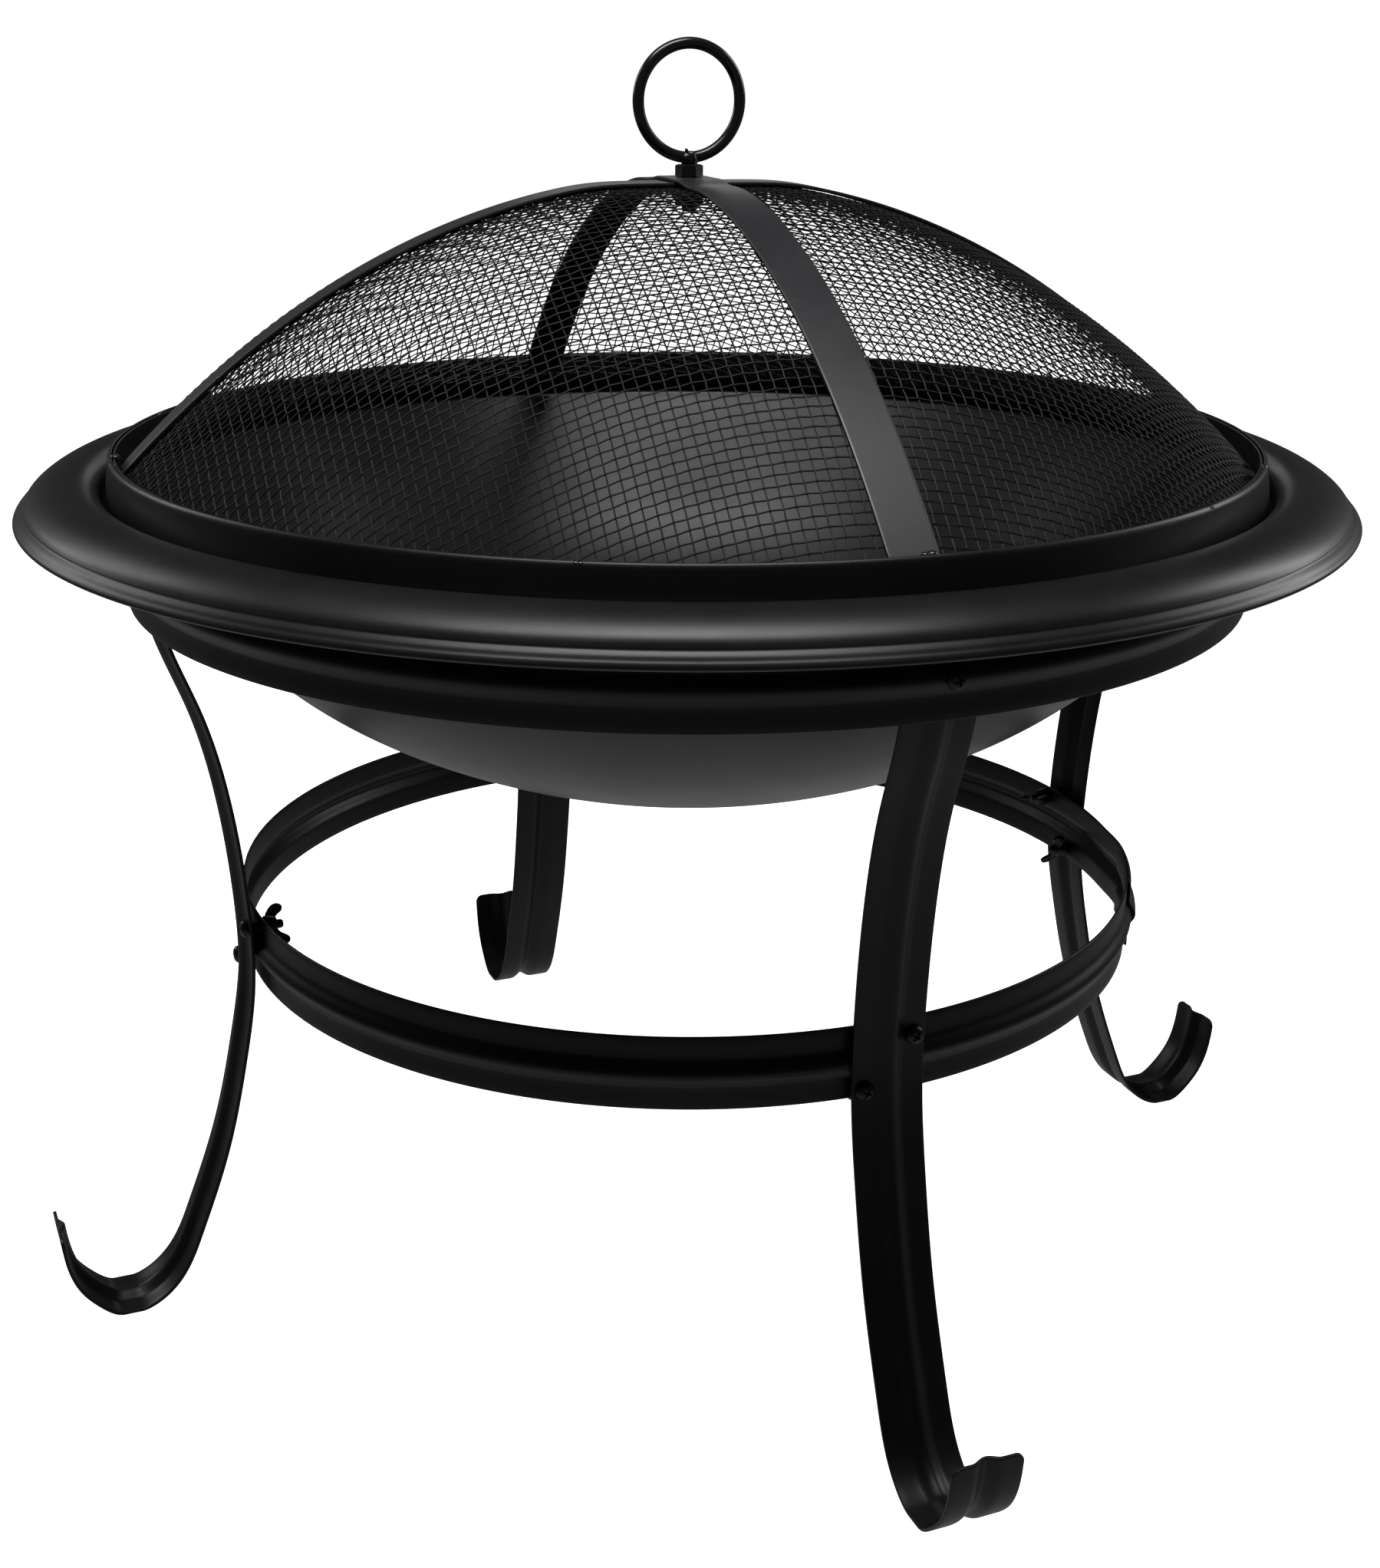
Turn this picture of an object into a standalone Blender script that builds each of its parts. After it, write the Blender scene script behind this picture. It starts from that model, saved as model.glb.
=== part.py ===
"""Fire pit with a domed spark screen: a stand of four strip legs, a lift-out bowl, a lift-off screen."""

import math

import bmesh
import bpy
from mathutils import Matrix, Vector

# All dimensions are in metres. The floor is z = 0 and the object's axis is the Z axis.
# A bearing is an angle in degrees about Z, from -Y towards +X.

# Stand
LEG_NAMES = ("front", "right", "back", "left")
FIRST_LEG_BEARING = 22.3
LEG_WIDTH = 0.030
LEG_THICKNESS = 0.0015
# Middle of the leg's sheet, as (radius, height), from its top down to the tip of the foot.
LEG_PATH = (
    (0.2319, 0.3280),
    (0.2319, 0.3230),
    (0.2280, 0.2990),
    (0.2170, 0.2680),
    (0.2075, 0.2270),
    (0.2028, 0.1810),
    (0.2028, 0.1450),
    (0.2082, 0.1120),
    (0.2184, 0.0703),
    (0.2325, 0.0320),
    (0.2425, 0.0124),
    (0.2590, 0.00075),
    (0.2690, 0.00075),
    (0.2770, 0.0065),
    (0.2840, 0.0150),
    (0.2885, 0.0265),
    (0.2905, 0.0415),
)
BEAD_WIDTH = 0.0096
BEAD_HEIGHT = 0.003
BEAD_POINTS = 5
RING_THICKNESS = 0.0012
RING_STEPS = 40
UPPER_RING_RADIUS = 0.2369
UPPER_RING_BOTTOM = 0.3056
UPPER_RING_TOP = 0.3346
UPPER_BEAD_MIDDLE = 0.3210
LOWER_RING_RADIUS = 0.1980
LOWER_RING_MIDDLE = 0.1600
LOWER_RING_WIDTH = 0.030
LOWER_RING_SEAM_BEARING = 77.5
LOWER_RING_OVERLAP = 12.0
LOWER_RING_JOGGLE = 8.0
LOWER_RING_STEP_OUT = 0.0016

# Fasteners. FIT_GAP is the clearance that touching pieces keep.
FIT_GAP = 0.0003
ROUND_STEPS = 12
BOLT_RADIUS = 0.002
BOLT_HOLE_RADIUS = 0.0023
BOLT_HOLE_DEPTH = 0.020
HEAD_RADIUS = 0.0038
HEAD_HEIGHT = 0.0024
# Crown of a pan head, as shares of its radius and height.
HEAD_CROWN = ((0.66, 0.85), (0.96, 0.45))
NUT_FLATS = 0.007
NUT_HEIGHT = 0.0032
UPPER_HEAD_FACE = 0.2408
UPPER_BOLT_LENGTH = 0.0143
UPPER_NUT_FACE = 0.2308
LOWER_HEAD_FACE = 0.20385
LOWER_BOLT_LENGTH = 0.01585
LOWER_NUT_FACE = 0.1962
LOWER_BOLT_OFFSET = 0.010
WING_HUB_RADIUS = 0.0042
WING_HUB_END_RADIUS = 0.0034
WING_HUB_HEIGHT = 0.0055
WING_THICKNESS = 0.0018
# One wing's outline, as (distance from the nut's axis, distance behind its seat).
WING_OUTLINE = (
    (0.0030, 0.0012),
    (0.0068, 0.0024),
    (0.0105, 0.0052),
    (0.0108, 0.0084),
    (0.0085, 0.0098),
    (0.0060, 0.0082),
    (0.0029, 0.0050),
)
# Turn of each leg's two wing nuts about their own bolts, in degrees.
WING_TURNS = ((20.0, 8.0), (75.0, 35.0), (110.0, 150.0), (60.0, 5.0))

# Bowl
BOWL_THICKNESS = 0.001
BOWL_STEPS = 40
DISH_RADIUS = 0.3090
DISH_MIDDLE_HEIGHT = 0.5226
DISH_EDGE_RADIUS = 0.150
DISH_SPANS = 6
KNUCKLE_RADIUS = 0.186
KNUCKLE_SPANS = 4
WALL_LEAN = 50.5
# Middle of the rim's sheet, as (radius, height), from the mouth over the arch to the rolled edge.
RIM_PATH = (
    (0.2402, 0.3418),
    (0.2421, 0.3438),
    (0.2436, 0.3438),
    (0.2451, 0.3453),
    (0.2462, 0.3505),
    (0.2500, 0.3538),
    (0.2555, 0.3553),
    (0.2615, 0.3550),
    (0.2675, 0.3529),
    (0.2720, 0.3498),
    (0.2756, 0.3468),
)
RIM_ROLL_RADIUS = 0.0026
RIM_ROLL_MIDDLE = (0.2774, 0.3449)
RIM_ROLL_POINTS = 6

# Spark screen
SCREEN_STEPS = 40
HOOP_THICKNESS = 0.0012
HOOP_TOP = (0.2407, 0.3644)
HOOP_BOTTOM = (0.2430, 0.3449)
INNER_HOOP_THICKNESS = 0.0010
INNER_HOOP_TOP = (0.2387, 0.3640)
INNER_HOOP_BOTTOM = (0.2404, 0.3500)
SCREEN_RADIUS = 0.2382
SCREEN_THICKNESS = 0.0009
SCREEN_APEX = 0.4690
SCREEN_FALL = 0.1060
SCREEN_EDGE_FALL = 0.0110
SCREEN_UNIT_RADIUS = 0.240
SCREEN_HUB_RADIUS = 0.012
SCREEN_HUB_HEIGHT = 0.4660
SCREEN_BLEND_RADIUS = 0.045
SCREEN_HUB_SPANS = (0.012, 0.028, 0.050)
SCREEN_OUTER_SPANS = 5
STRAP_OVER_BEARING = 19.0
STRAP_UNDER_BEARING = 105.0
STRAP_WIDTH = 0.019
STRAP_THICKNESS = 0.0015
STRAP_END_RADIUS = 0.2345
STRAP_SPANS = 24
STRAP_CROWDING = 1.25
STRAP_FACET_ROOM = 0.0009
CROSSING_RADIUS = 0.030
CROSSING_RAMP = 1.6
HUB_HOLE_RADIUS = 0.0034

# Lifting ring and its fasteners
LIFT_RING_RADIUS = 0.0223
LIFT_RING_WIRE = 0.00235
LIFT_RING_STEPS = 28
LIFT_RING_WIRE_STEPS = 8
LIFT_RING_HEIGHT = 0.5004
LIFT_RING_BEARING = 112.0
STUD_RADIUS = 0.003
STUD_BOTTOM = 0.4565
WELD_RADIUS = 0.0036
WELD_BOTTOM = 0.4756
WELD_TOP = 0.4796
HUB_NUT_FLATS = 0.010
HUB_NUT_HEIGHT = 0.0050
HUB_WASHER_RADIUS = 0.009
HUB_WASHER_HEIGHT = 0.0012
HUB_WASHER_STEPS = 16

# Sharp edges and mesh tolerances
SMOOTH_ANGLE = 35.0
MERGE_DISTANCE = 0.00001

# Each material's name, colour, roughness and metallic value.
FRAME_PAINT = ("black_frame_paint", (0.022, 0.022, 0.024), 0.42, 0.0)
LEG_PAINT = ("black_leg_paint", (0.024, 0.024, 0.026), 0.45, 0.0)
FASTENER_FINISH = ("blackened_fasteners", (0.050, 0.050, 0.055), 0.38, 0.6)
BOWL_ENAMEL = ("black_bowl_enamel", (0.020, 0.020, 0.021), 0.35, 0.0)
SCREEN_PAINT = ("black_screen_paint", (0.021, 0.021, 0.022), 0.36, 0.0)
WIRE_PAINT = ("black_wire_mesh", (0.030, 0.030, 0.032), 0.50, 0.2)
STRAP_PAINT = ("black_strap_paint", (0.030, 0.030, 0.032), 0.40, 0.0)
HUB_FINISH = ("blackened_hub_hardware", (0.050, 0.050, 0.055), 0.30, 0.6)


def clear_scene():
    for item in list(bpy.data.objects):
        bpy.data.objects.remove(item, do_unlink=True)


def make_collection(name, hidden=False):
    collection = bpy.data.collections.new(name)
    bpy.context.scene.collection.children.link(collection)
    collection.hide_render = hidden
    return collection


def make_material(name, colour, roughness, metallic):
    material = bpy.data.materials.new(name)
    material.use_nodes = True
    shader = material.node_tree.nodes["Principled BSDF"]
    shader.inputs["Base Color"].default_value = (*colour, 1.0)
    shader.inputs["Roughness"].default_value = roughness
    shader.inputs["Metallic"].default_value = metallic
    material.diffuse_color = (*colour, 1.0)
    return material


def object_from_mesh(name, mesh, material=None):
    item = bpy.data.objects.new(name, mesh)
    parts.objects.link(item)
    if material is not None:
        mesh.materials.append(material)
    return item


def object_from_bmesh(name, shape, material=None):
    mesh = bpy.data.meshes.new(name)
    shape.to_mesh(mesh)
    shape.free()
    return object_from_mesh(name, mesh, material)


def gather(name, pieces):
    """Puts the pieces of one moving body under an empty on the object's axis."""
    axis = bpy.data.objects.new(name, None)
    parts.objects.link(axis)
    for piece in pieces:
        piece.parent = axis


def into_cutters(item):
    parts.objects.unlink(item)
    cutters.objects.link(item)
    item.display_type = "WIRE"
    item.hide_render = True


def smooth(item):
    item.data.shade_smooth()
    item.data.set_sharp_from_angle(angle=math.radians(SMOOTH_ANGLE))


def add_solidify(item, thickness):
    modifier = item.modifiers.new("Sheet", "SOLIDIFY")
    modifier.thickness = thickness
    modifier.offset = 0.0
    modifier.use_even_offset = True


def add_boolean(item, other, operation):
    modifier = item.modifiers.new(operation.title(), "BOOLEAN")
    modifier.operation = operation
    modifier.solver = "EXACT"
    modifier.object = other


def bake(item, helpers):
    """The mesh of an object with its modifiers applied; the object and its helpers then go."""
    graph = bpy.context.evaluated_depsgraph_get()
    mesh = bpy.data.meshes.new_from_object(item.evaluated_get(graph))
    mesh.name = item.name
    for used in (item, *helpers):
        bpy.data.objects.remove(used, do_unlink=True)
    return mesh


def radial_frame(bearing):
    """Turns X to the outward direction at a bearing, Y to the sideways one, and keeps Z."""
    return Matrix.Rotation(math.radians(bearing - 90.0), 4, "Z")


def facing_out(bearing, radius, sideways, height, turn=0.0):
    """Places a piece that stands along Z so that its Z points outward at a bearing."""
    return (
        radial_frame(bearing)
        @ Matrix.Translation((radius, sideways, height))
        @ Matrix.Rotation(math.pi / 2, 4, "Y")
        @ Matrix.Rotation(math.radians(turn), 4, "Z")
    )


def curve_through(points):
    """Adds a point on a smooth curve between each two; a level or upright span stays straight."""
    known = [Vector(point) for point in points]
    path = [known[0]]
    for index in range(1, len(known)):
        near = known[index - 1]
        far = known[index]
        if near.x != far.x and near.y != far.y:
            before = known[max(index - 2, 0)]
            after = known[min(index + 1, len(known) - 1)]
            path.append((9.0 * (near + far) - before - after) / 16.0)
        path.append(far)
    return path


def strip_section(low, high, bead_middle):
    """Points (place across the width, rise) over a strip with one pressed bead."""
    section = [(low, 0.0)]
    for index in range(BEAD_POINTS):
        share = 2.0 * index / (BEAD_POINTS - 1) - 1.0
        section.append((bead_middle + share * BEAD_WIDTH / 2, BEAD_HEIGHT * (1.0 - share * share)))
    section.append((high, 0.0))
    return section


def sheet_from_rows(name, rows, material):
    """An open sheet through rows of points."""
    shape = bmesh.new()
    grid = [[shape.verts.new(point) for point in row] for row in rows]
    for near, far in zip(grid, grid[1:]):
        for index in range(len(near) - 1):
            shape.faces.new((near[index], near[index + 1], far[index + 1], far[index]))
    bmesh.ops.recalc_face_normals(shape, faces=shape.faces)
    return object_from_bmesh(name, shape, material)


def turned(name, profile, steps, material, closed=True):
    """A profile of (radius, height) points turned about Z; an open one is merged on the axis."""
    points = [(radius, 0.0, height) for radius, height in profile]
    edges = [(index, index + 1) for index in range(len(points) - 1)]
    if closed:
        edges.append((len(points) - 1, 0))
    mesh = bpy.data.meshes.new(name)
    mesh.from_pydata(points, edges, [])
    item = object_from_mesh(name, mesh, material)
    screw = item.modifiers.new("Turn", "SCREW")
    screw.axis = "Z"
    screw.steps = steps
    screw.render_steps = steps
    screw.use_merge_vertices = True
    screw.merge_threshold = MERGE_DISTANCE
    screw.use_smooth_shade = True
    if not closed:
        item.modifiers.new("Pole", "WELD").merge_threshold = MERGE_DISTANCE
    return item


def sheet_sides(path, thickness):
    """The two sides of a sheet whose middle follows a path of (radius, height) points."""
    points = [Vector(point) for point in path]
    spans = [(far - near).normalized() for near, far in zip(points, points[1:])]
    above = []
    below = []
    for index, point in enumerate(points):
        arriving = spans[max(index - 1, 0)]
        leaving = spans[min(index, len(spans) - 1)]
        across = (arriving + leaving).normalized().orthogonal()
        side = across * thickness / 2 / across.dot(arriving.orthogonal())
        above.append(point + side)
        below.append(point - side)
    return above, below


def round_bar(name, bottom_radius, top_radius, low, high, steps=ROUND_STEPS, material=None):
    """A cylinder, cone or prism along Z."""
    shape = bmesh.new()
    bmesh.ops.create_cone(
        shape,
        cap_ends=True,
        segments=steps,
        radius1=bottom_radius,
        radius2=top_radius,
        depth=high - low,
        matrix=Matrix.Translation((0.0, 0.0, (low + high) / 2)),
    )
    return object_from_bmesh(name, shape, material)


def make_hole_cutter(word, bearing):
    """Three round cutters through one leg and both rings, for its upper and two lower bolts."""
    shape = bmesh.new()
    for radius, sideways, height in (
        (UPPER_RING_RADIUS, 0.0, UPPER_BEAD_MIDDLE),
        (LOWER_RING_RADIUS, LOWER_BOLT_OFFSET, LOWER_RING_MIDDLE + LOWER_BOLT_OFFSET),
        (LOWER_RING_RADIUS, -LOWER_BOLT_OFFSET, LOWER_RING_MIDDLE - LOWER_BOLT_OFFSET),
    ):
        bmesh.ops.create_cone(
            shape,
            cap_ends=True,
            segments=ROUND_STEPS,
            radius1=BOLT_HOLE_RADIUS,
            radius2=BOLT_HOLE_RADIUS,
            depth=BOLT_HOLE_DEPTH,
            matrix=facing_out(bearing, radius, sideways, height),
        )
    cutter = object_from_bmesh("cut_" + word, shape)
    into_cutters(cutter)
    return cutter


def make_leg(word, bearing, cutter, material):
    section = strip_section(-LEG_WIDTH / 2, LEG_WIDTH / 2, 0.0)
    path = curve_through(LEG_PATH)
    rows = []
    for index, point in enumerate(path):
        before = path[max(index - 1, 0)]
        after = path[min(index + 1, len(path) - 1)]
        outward = (after - before).normalized().orthogonal()
        row = []
        for sideways, rise in section:
            place = point + outward * rise
            row.append((place.x, sideways, place.y))
        rows.append(row)
    leg = sheet_from_rows("leg_" + word, rows, material)
    leg.matrix_world = radial_frame(bearing)
    add_solidify(leg, LEG_THICKNESS)
    add_boolean(leg, cutter, "DIFFERENCE")
    smooth(leg)
    return leg


def make_upper_ring(material):
    section = strip_section(UPPER_RING_BOTTOM, UPPER_RING_TOP, UPPER_BEAD_MIDDLE)
    profile = [(UPPER_RING_RADIUS + rise, height) for height, rise in reversed(section)]
    ring = turned("upper_ring", profile, RING_STEPS, material, closed=False)
    ring.matrix_world = radial_frame(FIRST_LEG_BEARING)
    add_solidify(ring, RING_THICKNESS)
    return ring


def lower_ring_radius(turned_from_seam):
    """Radius of the sheet's middle: the outer end steps out over the inner end."""
    stepped_in = LOWER_RING_OVERLAP + 1.0 + LOWER_RING_JOGGLE
    share = (stepped_in - turned_from_seam) / LOWER_RING_JOGGLE
    return LOWER_RING_RADIUS + LOWER_RING_STEP_OUT * min(max(share, 0.0), 1.0)


def make_lower_ring(material):
    half = LOWER_RING_WIDTH / 2
    section = strip_section(LOWER_RING_MIDDLE - half, LOWER_RING_MIDDLE + half, LOWER_RING_MIDDLE)
    spans = RING_STEPS + 2
    rows = []
    for step in range(spans + 1):
        along = (360.0 + LOWER_RING_OVERLAP) * step / spans
        outward = radial_frame(LOWER_RING_SEAM_BEARING + along) @ Vector((1.0, 0.0, 0.0))
        row = []
        for height, rise in section:
            place = outward * (lower_ring_radius(along) + rise)
            row.append((place.x, place.y, height))
        rows.append(row)
    ring = sheet_from_rows("lower_ring", rows, material)
    add_solidify(ring, RING_THICKNESS)
    return ring


def bolt_mesh(name, length, material):
    """A pan-headed bolt along Z, seated at z = 0 with its head above."""
    crown = [(HEAD_RADIUS * across, HEAD_HEIGHT * up) for across, up in HEAD_CROWN]
    profile = [
        (0.0, HEAD_HEIGHT),
        *crown,
        (HEAD_RADIUS, 0.0),
        (BOLT_RADIUS, 0.0),
        (BOLT_RADIUS, -length),
        (0.0, -length),
    ]
    bolt = turned(name, profile, ROUND_STEPS, material, closed=False)
    mesh = bake(bolt, ())
    mesh.set_sharp_from_angle(angle=math.radians(SMOOTH_ANGLE))
    return mesh


def nut_mesh(name, flats, height, hole, material):
    """A hexagonal nut along Z, from z = -height up to its seat at z = 0."""
    corner = flats / math.sqrt(3.0)
    nut = round_bar(name, corner, corner, -height, 0.0, 6, material)
    bore = round_bar(name + "_bore", hole, hole, -2.0 * height, height)
    add_boolean(nut, bore, "DIFFERENCE")
    return bake(nut, (bore,))


def wing_nut_mesh(name, material):
    """A wing nut along Z, from its seat at z = 0 down, its two wings one plate through the hub."""
    hub = round_bar(
        name, WING_HUB_END_RADIUS, WING_HUB_RADIUS, -WING_HUB_HEIGHT, 0.0, ROUND_STEPS, material
    )
    outline = [(across, -behind) for across, behind in WING_OUTLINE]
    outline += [(-across, -behind) for across, behind in reversed(WING_OUTLINE)]
    plate = bmesh.new()
    plate.faces.new([plate.verts.new((across, 0.0, height)) for across, height in outline])
    wings = object_from_bmesh(name + "_wings", plate)
    add_solidify(wings, WING_THICKNESS)
    bore = round_bar(
        name + "_bore", BOLT_HOLE_RADIUS, BOLT_HOLE_RADIUS, -2.0 * WING_HUB_HEIGHT, WING_HUB_HEIGHT
    )
    add_boolean(hub, wings, "UNION")
    add_boolean(hub, bore, "DIFFERENCE")
    return bake(hub, (wings, bore))


def place_copy(name, mesh, matrix):
    item = object_from_mesh(name, mesh)
    item.matrix_world = matrix
    return item


def make_stand():
    paint = make_material(*FRAME_PAINT)
    leg_paint = make_material(*LEG_PAINT)
    finish = make_material(*FASTENER_FINISH)
    upper_ring = make_upper_ring(paint)
    lower_ring = make_lower_ring(paint)
    upper_bolt = bolt_mesh("upper_bolt", UPPER_BOLT_LENGTH, finish)
    lower_bolt = bolt_mesh("lower_bolt", LOWER_BOLT_LENGTH, finish)
    upper_nut = nut_mesh("upper_nut", NUT_FLATS, NUT_HEIGHT, BOLT_HOLE_RADIUS, finish)
    wing_nut = wing_nut_mesh("wing_nut", finish)
    pieces = [upper_ring, lower_ring]
    for index, word in enumerate(LEG_NAMES):
        bearing = FIRST_LEG_BEARING + 90.0 * index
        cutter = make_hole_cutter(word, bearing)
        pieces.append(make_leg(word, bearing, cutter, leg_paint))
        for ring in (upper_ring, lower_ring):
            add_boolean(ring, cutter, "DIFFERENCE")
        head = facing_out(bearing, UPPER_HEAD_FACE, 0.0, UPPER_BEAD_MIDDLE)
        nut = facing_out(bearing, UPPER_NUT_FACE, 0.0, UPPER_BEAD_MIDDLE)
        pieces.append(place_copy("upper_bolt_" + word, upper_bolt, head))
        pieces.append(place_copy("upper_nut_" + word, upper_nut, nut))
        for side, level, turn in zip((1.0, -1.0), ("high", "low"), WING_TURNS[index]):
            sideways = side * LOWER_BOLT_OFFSET
            height = LOWER_RING_MIDDLE + side * LOWER_BOLT_OFFSET
            head = facing_out(bearing, LOWER_HEAD_FACE, sideways, height)
            nut = facing_out(bearing, LOWER_NUT_FACE, sideways, height, turn)
            pieces.append(place_copy(f"lower_bolt_{word}_{level}", lower_bolt, head))
            pieces.append(place_copy(f"wing_nut_{word}_{level}", wing_nut, nut))
    smooth(upper_ring)
    smooth(lower_ring)
    gather("stand_body", pieces)


def bowl_path():
    """Middle of the bowl's sheet: the dish, the knuckle that turns up, and the rim."""
    path = []
    for index in range(DISH_SPANS + 1):
        radius = DISH_EDGE_RADIUS * index / DISH_SPANS
        path.append((radius, DISH_MIDDLE_HEIGHT - math.sqrt(DISH_RADIUS**2 - radius**2)))
    edge_height = path[-1][1]
    start = math.asin(DISH_EDGE_RADIUS / DISH_RADIUS)
    end = math.radians(WALL_LEAN)
    for index in range(1, KNUCKLE_SPANS + 1):
        angle = start + (end - start) * index / KNUCKLE_SPANS
        radius = DISH_EDGE_RADIUS + KNUCKLE_RADIUS * (math.sin(angle) - math.sin(start))
        height = edge_height + KNUCKLE_RADIUS * (math.cos(start) - math.cos(angle))
        path.append((radius, height))
    return path + list(RIM_PATH)


def rim_roll(upper_end, lower_end):
    """Points round the rolled edge, clockwise from the sheet's upper side to its lower one."""
    middle = Vector(RIM_ROLL_MIDDLE)
    first = math.atan2(*reversed(upper_end - middle))
    last = math.atan2(*reversed(lower_end - middle))
    if last > first:
        last -= 2.0 * math.pi
    roll = []
    for index in range(RIM_ROLL_POINTS):
        turn = first + (last - first) * (index + 0.5) / RIM_ROLL_POINTS
        roll.append(middle + RIM_ROLL_RADIUS * Vector((math.cos(turn), math.sin(turn))))
    return roll


def make_bowl():
    enamel = make_material(*BOWL_ENAMEL)
    upper, lower = sheet_sides(bowl_path(), BOWL_THICKNESS)
    profile = [*upper, *rim_roll(upper[-1], lower[-1]), *reversed(lower)]
    profile[0].x = 0.0
    profile[-1].x = 0.0
    bowl = turned("bowl", profile, BOWL_STEPS, enamel, closed=False)
    gather("bowl_body", [bowl])


def make_band(name, path, thickness, material):
    upper, lower = sheet_sides(path, thickness)
    return turned(name, [*upper, *reversed(lower)], SCREEN_STEPS, material)


def screen_height(radius):
    """Height of the middle of the screen: a dome that is pressed flat at its hub."""
    share = (radius / SCREEN_UNIT_RADIUS) ** 2
    dome = SCREEN_APEX - SCREEN_FALL * share - SCREEN_EDGE_FALL * share * share
    if radius >= SCREEN_BLEND_RADIUS:
        return dome
    ease = max(radius - SCREEN_HUB_RADIUS, 0.0) / (SCREEN_BLEND_RADIUS - SCREEN_HUB_RADIUS)
    ease = ease * ease * (3.0 - 2.0 * ease)
    return SCREEN_HUB_HEIGHT + (dome - SCREEN_HUB_HEIGHT) * ease


def make_screen_mesh(material):
    inner = SCREEN_HUB_SPANS[-1]
    radii = [HUB_HOLE_RADIUS, *SCREEN_HUB_SPANS]
    for index in range(1, SCREEN_OUTER_SPANS + 1):
        radii.append(inner + (SCREEN_RADIUS - inner) * index / SCREEN_OUTER_SPANS)
    path = [(radius, screen_height(radius)) for radius in radii]
    return make_band("screen_mesh", path, SCREEN_THICKNESS, material)


def strap_stand_off(reach, lift):
    """Distance from the dome's middle to a bar's; lift is what its middle rises over the other bar."""
    nearness = max(1.0 - reach / CROSSING_RADIUS, 0.0)
    facet_room = STRAP_FACET_ROOM * min(reach / CROSSING_RADIUS, 1.0)
    resting = SCREEN_THICKNESS / 2 + FIT_GAP + STRAP_THICKNESS / 2
    return resting + facet_room + lift * min(CROSSING_RAMP * nearness, 1.0)


def make_strap(name, bearing, lift, cutter, material):
    """A flat bar that follows the dome from edge to edge."""
    probe = 0.0005
    rows = []
    for index in range(STRAP_SPANS + 1):
        share = 2.0 * index / STRAP_SPANS - 1.0
        reach = STRAP_END_RADIUS * abs(share) ** STRAP_CROWDING
        rise = screen_height(reach + probe) - screen_height(max(reach - probe, 0.0))
        normal = Vector((-rise, 2.0 * probe)).normalized()
        place = Vector((reach, screen_height(reach))) + normal * strap_stand_off(reach, lift)
        along = math.copysign(place.x, share)
        rows.append([(along, side * STRAP_WIDTH / 2, place.y) for side in (-1.0, 1.0)])
    strap = sheet_from_rows(name, rows, material)
    strap.matrix_world = radial_frame(bearing)
    add_solidify(strap, STRAP_THICKNESS)
    add_boolean(strap, cutter, "DIFFERENCE")
    return strap


def make_lift_ring(material):
    """A wire ring stood on edge and welded to the stud that holds the screen together."""
    bpy.ops.mesh.primitive_torus_add(
        major_segments=LIFT_RING_STEPS,
        minor_segments=LIFT_RING_WIRE_STEPS,
        major_radius=LIFT_RING_RADIUS,
        minor_radius=LIFT_RING_WIRE,
    )
    torus = bpy.context.object
    upright = Matrix.Translation((0.0, 0.0, LIFT_RING_HEIGHT)) @ Matrix.Rotation(math.pi / 2, 4, "X")
    torus.data.transform(upright)
    ring = object_from_mesh("lift_ring", torus.data, material)
    bpy.data.objects.remove(torus, do_unlink=True)
    ring.matrix_world = radial_frame(LIFT_RING_BEARING)
    profile = (
        (0.0, WELD_TOP),
        (WELD_RADIUS, WELD_TOP),
        (WELD_RADIUS, WELD_BOTTOM),
        (STUD_RADIUS, WELD_BOTTOM),
        (STUD_RADIUS, STUD_BOTTOM),
        (0.0, STUD_BOTTOM),
    )
    stud = turned("stud", profile, ROUND_STEPS, None, closed=False)
    into_cutters(stud)
    add_boolean(ring, stud, "UNION")
    smooth(ring)
    return ring


def make_washer(top, material):
    low = top - HUB_WASHER_HEIGHT
    profile = (
        (HUB_WASHER_RADIUS, top),
        (HUB_WASHER_RADIUS, low),
        (HUB_HOLE_RADIUS, low),
        (HUB_HOLE_RADIUS, top),
    )
    return turned("hub_washer", profile, HUB_WASHER_STEPS, material)


def make_hub_fasteners(material):
    straps_top = SCREEN_HUB_HEIGHT + SCREEN_THICKNESS / 2 + 2.0 * (FIT_GAP + STRAP_THICKNESS)
    washer_top = SCREEN_HUB_HEIGHT - SCREEN_THICKNESS / 2 - FIT_GAP
    nut = nut_mesh("hub_nut", HUB_NUT_FLATS, HUB_NUT_HEIGHT, HUB_HOLE_RADIUS, material)
    top_nut_height = straps_top + FIT_GAP + HUB_NUT_HEIGHT
    bottom_nut_height = washer_top - HUB_WASHER_HEIGHT - FIT_GAP
    return [
        place_copy("hub_nut_top", nut, Matrix.Translation((0.0, 0.0, top_nut_height))),
        place_copy("hub_nut_bottom", nut, Matrix.Translation((0.0, 0.0, bottom_nut_height))),
        make_washer(washer_top, material),
    ]


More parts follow.
